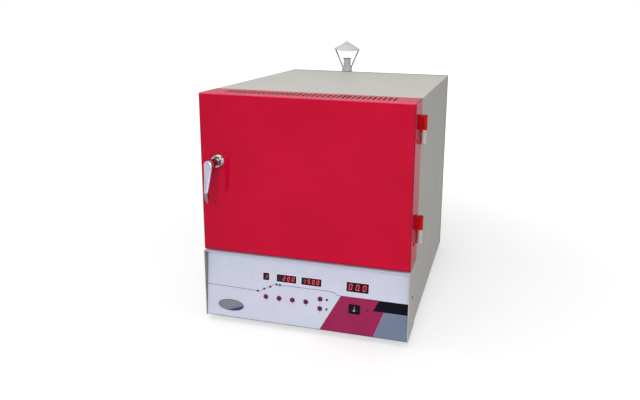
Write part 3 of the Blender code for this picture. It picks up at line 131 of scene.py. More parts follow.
# %% Meshes
weld = 0.002 * mm                   # corners closer than this are one corner
crease = math.radians(30)           # a sharper corner than this stays a hard edge
flat_enough = math.radians(0.5)     # triangles that lie this flat are merged into one face
upright = Matrix.Rotation(math.pi / 2, 4, "X")      # stands a flat drawing up, its Y as height


def in_mm(*corners):
    """The corners of a profile or a path, written in millimetres."""
    return [tuple(value * mm for value in corner) for corner in corners]


def as_mesh(name, shape):
    """Turn a shape that is being built into a mesh."""
    mesh = bpy.data.meshes.new(name)
    shape.to_mesh(mesh)
    shape.free()
    return mesh


def settled(mesh, place=None):
    """Put a mesh in its place, merge what meets, turn its faces outwards and shade it."""
    if place:
        mesh.transform(place)
    shape = bmesh.new()
    shape.from_mesh(mesh)
    bmesh.ops.remove_doubles(shape, verts=shape.verts, dist=weld)
    bmesh.ops.recalc_face_normals(shape, faces=shape.faces)
    shape.to_mesh(mesh)
    shape.free()
    mesh.shade_smooth()
    mesh.set_sharp_from_angle(angle=crease)
    return mesh


def joined(parts):
    """One mesh out of several, each given with its finish, and the list of those finishes."""
    shape = bmesh.new()
    finishes = []
    for mesh, finish in parts:
        start = len(shape.faces)
        shape.from_mesh(mesh)
        if finish not in finishes:
            finishes.append(finish)
        shape.faces.ensure_lookup_table()
        for face in shape.faces[start:]:
            face.material_index = finishes.index(finish)
    return as_mesh("joined", shape), finishes


print("corners closer than", weld / mm, "mm are merged")


# %% Pieces
def middle_of(node):
    """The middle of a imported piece's box."""
    low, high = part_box(node)
    return (low + high) / 2


def finished(name, mesh, body, slot, finishes, *stands_for):
    """A finished piece on its body: the mesh is in its place already."""
    mesh.name = name
    for index, finish in enumerate(finishes):
        if index < len(mesh.materials):
            mesh.materials[index] = finish
        else:
            mesh.materials.append(finish)
    piece = bpy.data.objects.new(name, mesh)
    scene.collection.objects.link(piece)
    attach(piece, body)
    if stands_for:
        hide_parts(*stands_for)
    return piece


def even_shading(piece, width=0.0):
    """Round a piece's sharp edges, and let its flat faces keep their own direction."""
    if width:
        bevel = piece.modifiers.new("rounded edges", "BEVEL")
        bevel.width = width
        bevel.segments = 2
        bevel.limit_method = "ANGLE"
        bevel.angle_limit = crease
    piece.modifiers.new("even shading", "WEIGHTED_NORMAL").keep_sharp = True
    return piece


def plain_copy(node):
    """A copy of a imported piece's mesh with its loose triangles merged back into flat faces."""
    mesh = nodes[node].data.copy()
    shape = bmesh.new()
    shape.from_mesh(mesh)
    bmesh.ops.remove_doubles(shape, verts=shape.verts, dist=weld)
    bmesh.ops.dissolve_limit(shape, angle_limit=flat_enough, verts=shape.verts, edges=shape.edges)
    shape.to_mesh(mesh)
    shape.free()
    return settled(mesh)


def softened(node, slot, finish, width=0.4 * mm):
    """A piece that follows a packed one, with edges that catch the light."""
    piece = finished("fine_" + node, plain_copy(node), nodes[node]["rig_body"], slot, [finish], node)
    return even_shading(piece, width)


print("pieces can be finished")

# %% [markdown]
# ## Shapes that follow a rule
# Much of a furnace is turned, swept or repeated. A lathe turns the knobs, collars and feet, a
# bender makes the pipes, and one screw is used two dozen times. In Blender such shapes could be
# modelled one by one, but Geometry Nodes can hold the rule itself, with named inputs for the
# sizes. Each tree below is written once and run with different sizes. Its result is turned into
# a plain mesh at once, so nothing live is left behind.

# %% Make a tree, end it and run it
def new_tree(name, **inputs):
    """A tree for shapes with named inputs: the tree, the sockets that it is given, and its end."""
    tree = bpy.data.node_groups.new(name, "GeometryNodeTree")
    tree.interface.new_socket("Shape", in_out="INPUT", socket_type="NodeSocketGeometry")
    for label, (kind, value) in inputs.items():
        socket = tree.interface.new_socket(label, in_out="INPUT", socket_type="NodeSocket" + kind)
        socket.default_value = value
    tree.interface.new_socket("Finish", in_out="INPUT", socket_type="NodeSocketMaterial")
    tree.interface.new_socket("Shape", in_out="OUTPUT", socket_type="NodeSocketGeometry")
    return tree, add_node(tree, "NodeGroupInput").outputs, add_node(tree, "NodeGroupOutput")


def end_tree(tree, shape, finish, end):
    """Close a tree: real shapes in place of instances, and their finish."""
    real = add_node(tree, "GeometryNodeRealizeInstances", {"Geometry": shape})
    done = add_node(tree, "GeometryNodeSetMaterial", {
        "Geometry": real.outputs[0], "Material": finish})
    tree.links.new(done.outputs[0], end.inputs[0])


def baked(holder):
    """The evaluated shape of a helper object as a plain mesh. The helper goes."""
    graph = bpy.context.evaluated_depsgraph_get()
    mesh = bpy.data.meshes.new_from_object(holder.evaluated_get(graph))
    bpy.data.objects.remove(holder)
    return mesh


def grown(tree, start, **values):
    """Run a tree once on a starting mesh and return what it makes as a plain mesh."""
    holder = bpy.data.objects.new("grown", start)
    scene.collection.objects.link(holder)
    modifier = holder.modifiers.new("grow", "NODES")
    modifier.node_group = tree
    for socket in tree.interface.items_tree:
        if socket.in_out == "INPUT" and socket.name in values:
            modifier[socket.identifier] = values[socket.name]
    bpy.context.view_layer.update()
    return baked(holder)


print("trees can be made and run")

# %% Paths, sums and steps that trees share
def drawn(points, closed=False, eases=0.0):
    """A chain of edges through points. The ease of a point is the radius that rounds its corner."""
    mesh = bpy.data.meshes.new("drawn")
    edges = [(index, index + 1) for index in range(len(points) - 1)]
    if closed:
        edges.append((len(points) - 1, 0))
    mesh.from_pydata(points, edges, [])
    ease = mesh.attributes.new("ease", "FLOAT", "POINT")
    ease.data.foreach_set("value", eases if isinstance(eases, list) else [eases] * len(points))
    return mesh


def math_node(tree):
    """A short way to write sums in a tree: operation, then its numbers or sockets."""
    def calculate(operation, *terms):
        return add_node(tree, "ShaderNodeMath", dict(enumerate(terms)), operation=operation).outputs[0]
    return calculate


def eased_path(tree, given):
    """Nodes that make a curve of the given chain and round each corner by its own ease."""
    curve = add_node(tree, "GeometryNodeMeshToCurve", {"Mesh": given["Shape"]})
    ease = add_node(tree, "GeometryNodeInputNamedAttribute", {"Name": "ease"}, data_type="FLOAT")
    return add_node(tree, "GeometryNodeFilletCurve", {
        "Curve": curve.outputs[0], "Count": given["Corner_steps"], "Radius": ease.outputs[0],
        "Limit Radius": True}, mode="POLY").outputs[0]


def thickened(tree, face, height):
    """Nodes that make a closed block of a flat face: raised copy, sides and a base turned down."""
    risen = add_node(tree, "GeometryNodeExtrudeMesh", {
        "Mesh": face, "Offset": (0, 0, 1), "Offset Scale": height, "Individual": False})
    base = add_node(tree, "GeometryNodeFlipFaces", {"Mesh": face})
    return add_node(tree, "GeometryNodeJoinGeometry", {
        "Geometry": [risen.outputs["Mesh"], base.outputs[0]]}).outputs[0]


def shifted(tree, mesh, **along):
    """Nodes that move a mesh along X, Y or Z."""
    offset = add_node(tree, "ShaderNodeCombineXYZ", along)
    return add_node(tree, "GeometryNodeTransform", {
        "Geometry": mesh, "Translation": offset.outputs[0]}).outputs[0]


print("paths and sums can be written")

# %% [markdown]
# ### Turned pieces
# A turned piece is a profile that goes once round an axis. A Screw modifier would do, but it
# leaves the corners of the profile sharp. This tree rounds each corner by its own radius first,
# and then lays a grid over the profile and the angle. Its seam and poles are merged.

# %% The turning tree
turning, given, end = new_tree(
    "turned piece", Sides=("Int", 48), Corner_steps=("Int", 3), Closed=("Int", 0))
calc = math_node(turning)
rounded = eased_path(turning, given)
points = add_node(turning, "GeometryNodeAttributeDomainSize", {"Geometry": rounded},
                  component="CURVE").outputs["Point Count"]
columns = calc("ADD", given["Sides"], 1)
grid = add_node(turning, "GeometryNodeMeshGrid", {
    "Vertices X": calc("ADD", points, given["Closed"]), "Vertices Y": columns})
index = add_node(turning, "GeometryNodeInputIndex").outputs[0]
row = calc("FLOOR", calc("DIVIDE", calc("ADD", index, 0.5), columns))
column = calc("SUBTRACT", index, calc("MULTIPLY", row, columns))
position = add_node(turning, "GeometryNodeInputPosition").outputs[0]
sample = add_node(turning, "GeometryNodeSampleIndex", {
    "Geometry": rounded, "Index": calc("FLOORED_MODULO", row, points)},
    data_type="FLOAT_VECTOR", domain="POINT")
turning.links.new(position, sample.inputs["Value"])
split = add_node(turning, "ShaderNodeSeparateXYZ", {0: sample.outputs[0]})
angle = calc("DIVIDE", calc("MULTIPLY", column, math.tau), given["Sides"])
place = add_node(turning, "ShaderNodeCombineXYZ", {
    0: calc("MULTIPLY", split.outputs["X"], calc("COSINE", angle)),
    1: calc("MULTIPLY", split.outputs["X"], calc("SINE", angle)),
    2: split.outputs["Z"]})
laid = add_node(turning, "GeometryNodeSetPosition", {
    "Geometry": grid.outputs["Mesh"], "Position": place.outputs[0]})
merged = add_node(turning, "GeometryNodeMergeByDistance", {
    "Geometry": laid.outputs[0], "Distance": weld})
end_tree(turning, merged.outputs[0], given["Finish"], end)


def turned(profile, place, sides=48, closed=False, ease=0.3 * mm):
    """A turned mesh from radius, height and, where it differs, the ease of each corner."""
    points = [(corner[0], 0, corner[1]) for corner in profile]
    eases = [corner[2] if len(corner) > 2 else ease for corner in profile]
    mesh = grown(turning, drawn(points, closed, eases), Sides=sides, Closed=int(closed))
    return settled(mesh, place)


def along_y(x, y, z):
    """A place whose height runs along +Y, into the furnace."""
    return Matrix.Translation((x, y, z)) @ Matrix.Rotation(-math.pi / 2, 4, "X")


test = turned(in_mm((0, 0), (10, 0), (10, 5), (0, 5)), None)
print("a test disc has", len(test.polygons), "faces")

# %% [markdown]
# ### Bars, wires and printed lines
# A bent bar, a wire and a printed line are all one section along a path. The tree rounds the
# corners of the path by their ease and sweeps an oval along it. A printed line is the same thing
# with an oval that is nearly flat.

# %% The bar tree
bending, given, end = new_tree(
    "bar along a path", Width=("Float", 1 * mm), Thickness=("Float", 1 * mm), Sides=("Int", 16),
    Corner_steps=("Int", 6), Capped=("Bool", True))
level = add_node(bending, "GeometryNodeSetCurveNormal", {
    "Curve": eased_path(bending, given)}, mode="Z_UP")
ring = add_node(bending, "GeometryNodeCurvePrimitiveCircle", {
    "Resolution": given["Sides"], "Radius": 0.5}, mode="RADIUS")
oval_size = add_node(bending, "ShaderNodeCombineXYZ", {
    0: given["Width"], 1: given["Thickness"], 2: 1.0})
oval = add_node(bending, "GeometryNodeTransform", {
    "Geometry": ring.outputs["Curve"], "Scale": oval_size.outputs[0]})
swept = add_node(bending, "GeometryNodeCurveToMesh", {
    "Curve": level.outputs[0], "Profile Curve": oval.outputs[0], "Fill Caps": given["Capped"]})
end_tree(bending, swept.outputs[0], given["Finish"], end)


def bar(points, width, thickness, place, sides=16, ease=0.0, closed=False, capped=True, steps=6):
    """A bar along a path that is drawn flat, in X and Y, with its thickness along Z."""
    path = drawn([(x, y, 0) for x, y in points], closed, ease)
    mesh = grown(bending, path, Width=width, Thickness=thickness, Sides=sides, Capped=capped,
                 Corner_steps=steps)
    return settled(mesh, place) if capped else mesh


test = bar(in_mm((0, 0), (50, 0)), 4 * mm, 1 * mm, None)
spans = [[vertex.co[axis] for vertex in test.vertices] for axis in range(3)]
print("a test bar measures", [round((max(span) - min(span)) / mm, 1) for span in spans])

# %% [markdown]
# ### Screws
# The covers are held by domed screws with a cross recess, all of one kind. The tree makes one
# head, cuts the cross with two crossed blades, adds the shank and sets a copy on every point,
# turned to the way that the point faces.

# %% The screw tree and its head
screwing, given, end = new_tree(
    "screws on points", Head_radius=("Float", 3.8 * mm), Head_height=("Float", 2.2 * mm),
    Shank_radius=("Float", 1.8 * mm), Shank_length=("Float", 6 * mm), Blade=("Float", 0.9 * mm))
calc = math_node(screwing)
head = add_node(screwing, "GeometryNodeMeshCylinder", {
    "Vertices": 24, "Side Segments": 1, "Fill Segments": 4, "Radius": given["Head_radius"],
    "Depth": given["Head_height"]}, fill_type="TRIANGLE_FAN")
split = add_node(screwing, "ShaderNodeSeparateXYZ", {
    0: add_node(screwing, "GeometryNodeInputPosition").outputs[0]})
squares = calc("ADD", calc("POWER", split.outputs["X"], 2.0), calc("POWER", split.outputs["Y"], 2.0))
out = calc("DIVIDE", calc("SQRT", squares), given["Head_radius"])
dome_power = 2.6                # a higher power keeps the middle flatter
dome_share = -0.62              # how much of the head's height its rim falls by
depth = calc("MULTIPLY", calc("POWER", out, dome_power), given["Head_height"])
fall = calc("MULTIPLY", depth, dome_share)
upper = calc("GREATER_THAN", split.outputs["Z"], 0.0)
sink = add_node(screwing, "ShaderNodeCombineXYZ", {2: calc("MULTIPLY", fall, upper)})
domed = add_node(screwing, "GeometryNodeSetPosition", {
    "Geometry": head.outputs["Mesh"], "Offset": sink.outputs[0]})
print("the head is domed")

# %% Its cross and its shank, and a copy on every point
cross_length = 1.1              # of the head's radius
cross_rise = 0.6                # how many head heights up the blades' middle is
shank_drop = -0.45              # of both heights, so that the shank reaches into the head
blade_length = calc("MULTIPLY", given["Head_radius"], cross_length)
blades = []
for size in ((blade_length, given["Blade"]), (given["Blade"], blade_length)):
    blade_size = add_node(screwing, "ShaderNodeCombineXYZ", {
        0: size[0], 1: size[1], 2: given["Head_height"]})
    blade = add_node(screwing, "GeometryNodeMeshCube", {"Size": blade_size.outputs[0]})
    blades.append(blade.outputs["Mesh"])
cross = add_node(screwing, "GeometryNodeMeshBoolean", {
    "Mesh 2": blades}, operation="UNION", solver="EXACT")
raised = shifted(screwing, cross.outputs["Mesh"],
                 Z=calc("MULTIPLY", given["Head_height"], cross_rise))
recessed = add_node(screwing, "GeometryNodeMeshBoolean", {
    "Mesh 1": domed.outputs[0], "Mesh 2": [raised]},
    operation="DIFFERENCE", solver="EXACT")
shank = add_node(screwing, "GeometryNodeMeshCylinder", {
    "Vertices": 12, "Radius": given["Shank_radius"], "Depth": given["Shank_length"]})
both_heights = calc("ADD", given["Shank_length"], given["Head_height"])
lowered = shifted(screwing, shank.outputs["Mesh"],
                  Z=calc("MULTIPLY", both_heights, shank_drop))
whole = add_node(screwing, "GeometryNodeMeshBoolean", {
    "Mesh 2": [recessed.outputs["Mesh"], lowered]},
    operation="UNION", solver="EXACT")
seated = shifted(screwing, whole.outputs["Mesh"], Z=calc("MULTIPLY", given["Head_height"], 0.5))
facing = add_node(screwing, "GeometryNodeInputNamedAttribute", {
    "Name": "facing"}, data_type="FLOAT_VECTOR")
aligned = add_node(screwing, "FunctionNodeAlignRotationToVector", {
    "Vector": facing.outputs[0]}, axis="Z")
copies = add_node(screwing, "GeometryNodeInstanceOnPoints", {
    "Points": given["Shape"], "Instance": seated, "Rotation": aligned.outputs[0]})
end_tree(screwing, copies.outputs[0], given["Finish"], end)
print("the screw tree has", len(screwing.nodes), "nodes")

# %% Screws on points
def screws(places, facing):
    """Screws with their heads on the given points, all facing one way."""
    start = bpy.data.meshes.new("places")
    start.from_pydata(places, [], [])
    ways = start.attributes.new("facing", "FLOAT_VECTOR", "POINT")
    ways.data.foreach_set("vector", list(facing) * len(places))
    return settled(grown(screwing, start))


print("a screw has", len(screws([(0, 0, 0)], (0, 0, 1)).polygons), "faces")

# %% [markdown]
# ## Finishes
# Every finish starts from the real thing: which metal, paint or ceramic it is and how its surface
# was made. The patterns read the piece's own coordinates, so they stay on it when it moves, and
# their sizes come from real ones. A pattern too fine for the picture to show is drawn coarser,
# and says so.

# %% The start of a finish
def start_finish(name, values):
    """A new material, its tree, its shader and the coordinates of the piece that wears it."""
    material = bpy.data.materials.new(name)
    material.use_nodes = True
    tree = material.node_tree
    shader = tree.nodes["Principled BSDF"]
    for key, value in values.items():
        shader.inputs[key].default_value = value
    return material, tree, shader, add_node(tree, "ShaderNodeTexCoord").outputs["Object"]


def wear(tree, shader, colour, height, depth):
    """Put a colour on a finish, and relief from a pattern of heights with a depth in mm."""
    relief = add_node(tree, "ShaderNodeBump", {"Distance": depth * mm, "Height": height})
    tree.links.new(colour, shader.inputs["Base Color"])
    tree.links.new(relief.outputs[0], shader.inputs["Normal"])


def surface(name, light, dark, patch, grain, depth, roughness, uneven=0.05, stretch=(1, 1, 1),
            **more):
    """A finish with two close shades in patches, and a grain that also varies its gloss.

    patch and grain are sizes in mm, depth is how many mm deep the grain looks, and uneven is
    how far the roughness strays."""
    values = {key.replace("_", " "): value for key, value in more.items()}
    material, tree, shader, place = start_finish(name, values)
    stretched = add_node(tree, "ShaderNodeMapping", {"Vector": place, "Scale": stretch})
    patches = add_node(tree, "ShaderNodeTexNoise", {
        "Vector": stretched.outputs[0], "Scale": 1 / (patch * mm), "Detail": 3.0})
    spread = add_node(tree, "ShaderNodeMapRange", {
        "Value": patches.outputs[0], "From Min": 0.3, "From Max": 0.7})
    shades = add_node(tree, "ShaderNodeMix", {
        0: spread.outputs[0], 6: linear(light), 7: linear(dark)}, data_type="RGBA")
    grains = add_node(tree, "ShaderNodeTexNoise", {
        "Vector": stretched.outputs[0], "Scale": 1 / (grain * mm), "Detail": 2.0})
    sheen = add_node(tree, "ShaderNodeMapRange", {
        "Value": grains.outputs[0], "To Min": roughness - uneven, "To Max": roughness + uneven})
    tree.links.new(sheen.outputs[0], shader.inputs["Roughness"])
    wear(tree, shader, shades.outputs[2], grains.outputs[0], depth)
    return material


print("finishes can be made")

# %% [markdown]
# ### Enamels
# The case, the door and the rear cover are sheet steel with stove enamel, sprayed and baked. It
# is smooth with a faint orange peel, waves of one to three millimetres that are only a few
# hundredths deep. The red of the door is glossy and deep. In the photograph its upper fold
# catches the room's light and its other folds stay in the shade, and studio lamps can't repeat
# that room, so the upper fold carries a painted highlight and the other folds painted shade.
# The grey of the case is satin with a fine texture, so it shows broad soft light. Its inward
# faces take a darker grey, painted shade where the cheeks show beside the console panel. The
# shader's coat layer gives the gloss, because its weight also tames the bright reflection that a
# flat side shows along its own length.

# %% Enamelled sheet
satin = {"Specular_IOR_Level": 0.0, "Coat_Weight": 0.2, "Coat_Roughness": 0.3}
gloss = {"Specular_IOR_Level": 0.0, "Coat_Weight": 0.35, "Coat_Roughness": 0.05, "Coat_IOR": 1.3}
case_enamel = surface(
    "satin grey stove enamel", "#c6c4be", "#c1bfb9", 140, 1.4, 0.02, 0.5, **satin)
console_enamel = surface(
    "pale console enamel", "#cccedf", "#c6c9db", 80, 1.2, 0.015, 0.5, **satin)
rear_enamel = surface(
    "dark grey stove enamel", "#565554", "#4c4b4a", 60, 1.2, 0.03, 0.5, **satin)
door_enamel = surface(
    "gloss red stove enamel", "#ca0834", "#be062f", 160, 2.6, 0.012, 0.5, **gloss)
# Painted shade on the door's folds, and next a painted highlight on its upper fold
door_painted_shade_enamel = surface(
    "red enamel with painted shade on a fold", "#a80a38", "#a00834", 40, 2.6, 0.012, 0.5, **gloss)
door_painted_highlight_enamel = surface(
    "red enamel with a painted highlight on the upper fold", "#e0406e", "#d83a68", 40, 2.6, 0.012, 0.4,
    Specular_IOR_Level=0.0, Coat_Weight=0.5, Coat_Roughness=0.12)
hinge_enamel = surface(
    "red hinge enamel", "#cc1a18", "#b81414", 12, 1.2, 0.02, 0.5,
    Specular_IOR_Level=0.0, Coat_Weight=0.3, Coat_Roughness=0.15, Coat_IOR=1.3)
# Painted shade for the case's inward faces
grey_painted_shade = surface(
    "matt grey painted shade", "#8f918d", "#858783", 60, 1.2, 0.02, 0.8, Specular_IOR_Level=0.1)
print("enamels:", case_enamel.name, door_enamel.name, rear_enamel.name, sep=", ")

# %% [markdown]
# ### Metals
# The chimney is drawn stainless steel, brushed round its axis, so fine rings cross it. The lever
# is satin chrome. The hidden brackets are zinc plated, with the large dull flowers that zinc
# leaves. A metal's colour is the colour of its reflection, and its index of refraction stays as
# it is. The chromes' colours also hold painted reflection: the escutcheon and stem a darker grey
# tinted pink by the red door, the lever a bluish grey and its tip a darker grey.

# %% Bare and plated metal
stainless_steel = surface(
    "brushed stainless steel", "#bfc0c0", "#b4b5b5", 40, 4, 0.002, 0.6,
    stretch=(1, 1, 6), Metallic=0.5)
cap_steel = surface(
    "dull spun steel", "#c7cbcb", "#babebe", 50, 4, 0.002, 0.6,
    stretch=(1, 1, 3), Metallic=0.2, Specular_IOR_Level=0.2)
drawn_wire = surface(
    "dull drawn wire", "#828383", "#717272", 5, 0.8, 0.02, 0.5, Metallic=0.6)
# Painted reflection in the chromes' colours: darker and pink-tinted here, bluish on the lever
chrome_plate = surface(
    "chrome plate with painted reflection", "#aaa3a3", "#8f8989", 8, 3, 0.004, 0.12, Metallic=1.0)
satin_chrome = surface(
    "satin chrome with painted reflection", "#b6b8c9", "#a9adc0", 12, 0.9, 0.008, 0.3,
    stretch=(1, 1, 0.2), Metallic=1.0)
# A darker chrome for the lever's tip: painted reflection
dark_tip_chrome = surface(
    "darker chrome tip with painted reflection", "#86857f", "#6d6c67", 6, 0.9, 0.01, 0.34,
    stretch=(1, 1, 0.3), Metallic=1.0)
zinc_plate = surface(
    "bright zinc plate", "#b9bcc0", "#a3a7ad", 7, 2.4, 0.01, 0.38, 0.12, Metallic=1.0)
heating_wire = surface(
    "oxidised heating wire", "#55493f", "#3b332d", 5, 0.7, 0.05, 0.62, Metallic=0.7)
heat_sink_alloy = surface(
    "extruded alloy", "#c4c6c9", "#b5b8bc", 12, 0.8, 0.02, 0.4,
    stretch=(1, 0.1, 1), Metallic=1.0)
print("metals:", stainless_steel.name, satin_chrome.name, zinc_plate.name, sep=", ")

# %% [markdown]
# ### Ceramics
# The muffle is fired ceramic, pale and slightly toasted. The boards round it are pressed from
# ceramic fibre: soft, nearly white, with a felted surface. The rope round the door's plug is
# braided from the same fibre. Its strands are about 2 mm apart and are drawn 14 mm apart, so
# that they show.

# %% Fired and fibrous ceramic
fired_ceramic = surface(
    "fired ceramic", "#e2d3b9", "#d2bf9f", 45, 1.6, 0.08, 0.86)
fibre_board = surface(
    "ceramic fibre board", "#ece7da", "#dfd8c7", 30, 1.8, 0.25, 0.95, 0.04, stretch=(1, 2.5, 1))

wave_radians = 20               # a wave texture of scale 1 turns by this much over one unit
strand_step = 2.2 * mm          # for each radian, which sets the strands 13.8 mm apart
strand_turn = math.radians(38)
fibre_rope, tree, shader, place = start_finish("braided fibre rope", {"Roughness": 0.93})
strands = []
for turn in (strand_turn, -strand_turn):
    turned_place = add_node(tree, "ShaderNodeMapping", {"Vector": place, "Rotation": (0, turn, 0)})
    strands.append(add_node(tree, "ShaderNodeTexWave", {
        "Vector": turned_place.outputs[0], "Scale": 1 / (wave_radians * strand_step),
        "Distortion": 0.6, "Detail": 2.0}).outputs[0])
braid = math_node(tree)("MAXIMUM", *strands)
braid_colour = add_node(tree, "ShaderNodeMix", {
    0: braid, 6: linear("#b9b09c"), 7: linear("#ebe5d6")}, data_type="RGBA")
wear(tree, shader, braid_colour.outputs[2], braid, 0.5)
print("ceramics:", fired_ceramic.name, fibre_board.name, fibre_rope.name, sep=", ")

# %% [markdown]
# ### The console's film, plastics and rubber
# The film on the console is polyester, printed on its back, with a fine matt texture on its
# front. Each printed colour is a finish of its own, because ink colours meet in hard lines. The
# buttons are moulded and slightly domed, the switch is matt black, and the feet are rubber.

# %% Film, plastics and rubber
inks = {
    "pale": ("#d0d3e4", "#cbcfe1"),
    "magenta": ("#9b2a55", "#952751"),
    "slate": ("#76829a", "#717d94"),
    "label": ("#10111b", "#0c0d15"),
    "keyline": ("#eceaf2", "#e6e4ee"),
    "border": ("#7b2550", "#74224b"),
    "seam": ("#9d86a8", "#967fa1"),
    "graph": ("#584e69", "#514762"),
    "curve": ("#b02c74", "#a6286c"),
    "mark": ("#44475c", "#3e4156"),
}
film = {
    name: surface("polyester film printed " + name, light, dark, 30, 0.5, 0.006, 0.5,
                  Specular_IOR_Level=0.0, Coat_Weight=0.1, Coat_Roughness=0.3)
    for name, (light, dark) in inks.items()}
button_plastic = surface(
    "moulded magenta plastic", "#6a0c42", "#5a0a39", 6, 0.6, 0.01, 0.3, Specular_IOR_Level=0.2)
lamp_plastic = surface(
    "dark lamp lens", "#46163f", "#361033", 2, 0.4, 0.004, 0.2, Specular_IOR_Level=0.3)
black_plastic = surface(
    "matt black moulded plastic", "#070709", "#0b0b0d", 8, 0.5, 0.02, 0.42,
    Specular_IOR_Level=0.1)
mark_plastic = surface(
    "white switch mark", "#e8e8e4", "#dcdcd8", 2, 0.4, 0.004, 0.5)
display_window = surface(
    "dark tinted window", "#0b080d", "#0e0a0f", 10, 1.5, 0.002, 0.16, 0.03,
    Specular_IOR_Level=0.15)
unlit_segment = surface(
    "unlit segment", "#1d070c", "#19060a", 2, 0.5, 0.002, 0.3)
lit_segment = surface(
    "lit red segment", "#d21c38", "#c81834", 2, 0.5, 0.002, 0.35,
    Emission_Color=linear("#ff4264"), Emission_Strength=0.75)
foot_rubber = surface(
    "black moulded rubber", "#161616", "#1c1c1c", 8, 0.8, 0.04, 0.82)
print("films:", ", ".join(film))

# %% [markdown]
# ### Badge, circuit board and transformer core
# The badge is anodised alloy whose colour runs from grey to blue, so a gradient across it does
# the work. The circuit board shows copper tracks as lighter lines under green lacquer. The core
# is a stack of thin steel plates, seen as fine lines on its sides.

# %% Gradients and stripes
badge_alloy, tree, shader, place = start_finish("anodised badge alloy", {
    "Metallic": 0.75, "Roughness": 0.32})
sweep_size = 34 * mm            # about half the badge's width
sweep_slant = 3.0               # the blue comes in from below as well as from the right
badge_mapped = add_node(tree, "ShaderNodeMapping", {
    "Vector": place, "Location": tuple(middle_of("badge_plate")),
    "Scale": (sweep_size, sweep_size, sweep_size)}, vector_type="TEXTURE")
badge_axes = add_node(tree, "ShaderNodeSeparateXYZ", {0: badge_mapped.outputs[0]}).outputs
calc = math_node(tree)
sweep = calc("SUBTRACT", badge_axes["X"], calc("MULTIPLY", badge_axes["Z"], sweep_slant))
blend = add_node(tree, "ShaderNodeMapRange", {
    "Value": sweep, "From Min": 0.55, "From Max": 1.25}, interpolation_type="SMOOTHSTEP")
badge_colour = add_node(tree, "ShaderNodeMix", {
    0: blend.outputs[0], 6: linear("#7b7f83"), 7: linear("#222f78")}, data_type="RGBA")
brushing = add_node(tree, "ShaderNodeTexNoise", {
    "Vector": place, "Scale": 1 / (0.8 * mm), "Detail": 2.0})
wear(tree, shader, badge_colour.outputs[2], brushing.outputs[0], 0.004)

circuit_board, tree, shader, place = start_finish("lacquered circuit board", {"Roughness": 0.38})
laid_flat = add_node(tree, "ShaderNodeMapping", {"Vector": place, "Rotation": (math.pi / 2, 0, 0)})
tracks = add_node(tree, "ShaderNodeTexBrick", {
    "Vector": laid_flat.outputs[0], "Color1": linear("#0d4a26"), "Color2": linear("#10522b"),
    "Mortar": linear("#2d7a46"), "Scale": 1 / (30 * mm),
    "Mortar Size": 0.03}).outputs       # a share of 30 mm, so tracks are about a millimetre wide
wear(tree, shader, tracks["Color"], tracks["Fac"], 0.05)

plate_step = 1.0 * mm           # for each radian, so the plates are drawn 6.3 mm apart to show
laminated_core, tree, shader, place = start_finish("laminated core steel", {
    "Metallic": 0.6, "Roughness": 0.5})
plates = add_node(tree, "ShaderNodeTexWave", {
    "Vector": place, "Scale": 1 / (wave_radians * plate_step), "Distortion": 0.2},
    bands_direction="Y").outputs[0]
core_colour = add_node(tree, "ShaderNodeMix", {
    0: plates, 6: linear("#2b2a2b"), 7: linear("#5a5654")}, data_type="RGBA")
wear(tree, shader, core_colour.outputs[2], plates, 0.15)
print("materials so far:", len(bpy.data.materials))

# %% [markdown]
# ## Case
# The case is one wrapped sheet with a small radius at its upper corners, and its sides run
# forward as the cheeks of the console. Its shape in the model is right. What it lacks are edges
# that catch the light, so each sheet piece is copied, its loose triangles are merged, and a
# bevel a few tenths of a millimetre wide goes along every sharp edge. The case's inward faces,
# where the insides of the cheeks show beside the panel, take a darker grey that is painted shade.

# %% Case and console sheets
sheet_edge = 0.3 * mm
case_shell = plain_copy("outer_case")
# Faces that look inwards take the darker grey: painted shade beside the console panel
for face in case_shell.polygons:
    to_middle = math.copysign(1.0, middle_x - face.center.x)
    face.material_index = int(face.normal.x * to_middle > 0.9)      # a side that looks inwards
piece = finished("fine_outer_case", case_shell, "furnace", "case_enamel",
                 [case_enamel, grey_painted_shade], "outer_case")
even_shading(piece, sheet_edge)
for node, slot, finish in (
        ("front_frame", "case_enamel", case_enamel),
        ("console_ledge", "panel_enamel", console_enamel),
        ("rear_cover", "rear_enamel", rear_enamel),
        ("base_pan", "zinc_steel", zinc_plate),
        ("hinge_socket_upper", "case_enamel", case_enamel),
        ("hinge_socket_lower", "case_enamel", case_enamel)):
    piece = softened(node, slot, finish, sheet_edge)
    print(piece.name, len(piece.data.polygons), "faces")

# %% [markdown]
# ## Door
# The door is a red box with a row of 35 cooling slots in its top and long inlets below. It
# follows a rule, so a tree makes it: a rounded block, less its cavity, less one slot with round
# ends that is set out along a line, less the bore for the latch's shaft. Booleans in the tree
# keep the slots clean, and the count and pitch stay as named inputs. The slots read dark in the
# photograph, so their walls and the inside of the box take the dark grey enamel as painted shade.

# %% The slotted door tree
slotting, given, end = new_tree(
    "slotted door", Width=("Float", 0.5), Depth=("Float", 0.087), Height=("Float", 0.3766),
    Sheet=("Float", 1.5 * mm), Slot_count=("Int", 35), Slot_pitch=("Float", 11.56 * mm),
    Slot_width=("Float", 4 * mm), Slot_length=("Float", 43 * mm), Slot_front=("Float", 25 * mm),
    Inlet_count=("Int", 5), Inlet_pitch=("Float", 80 * mm), Inlet_length=("Float", 60 * mm),
    Bore_radius=("Float", 4.6 * mm), Bore_place=("Vector", (0, 0, 0)))
calc = math_node(slotting)
cut_depth = 12 * mm
nearly_half = 0.499             # of a slot's width, so that its two end corners don't meet


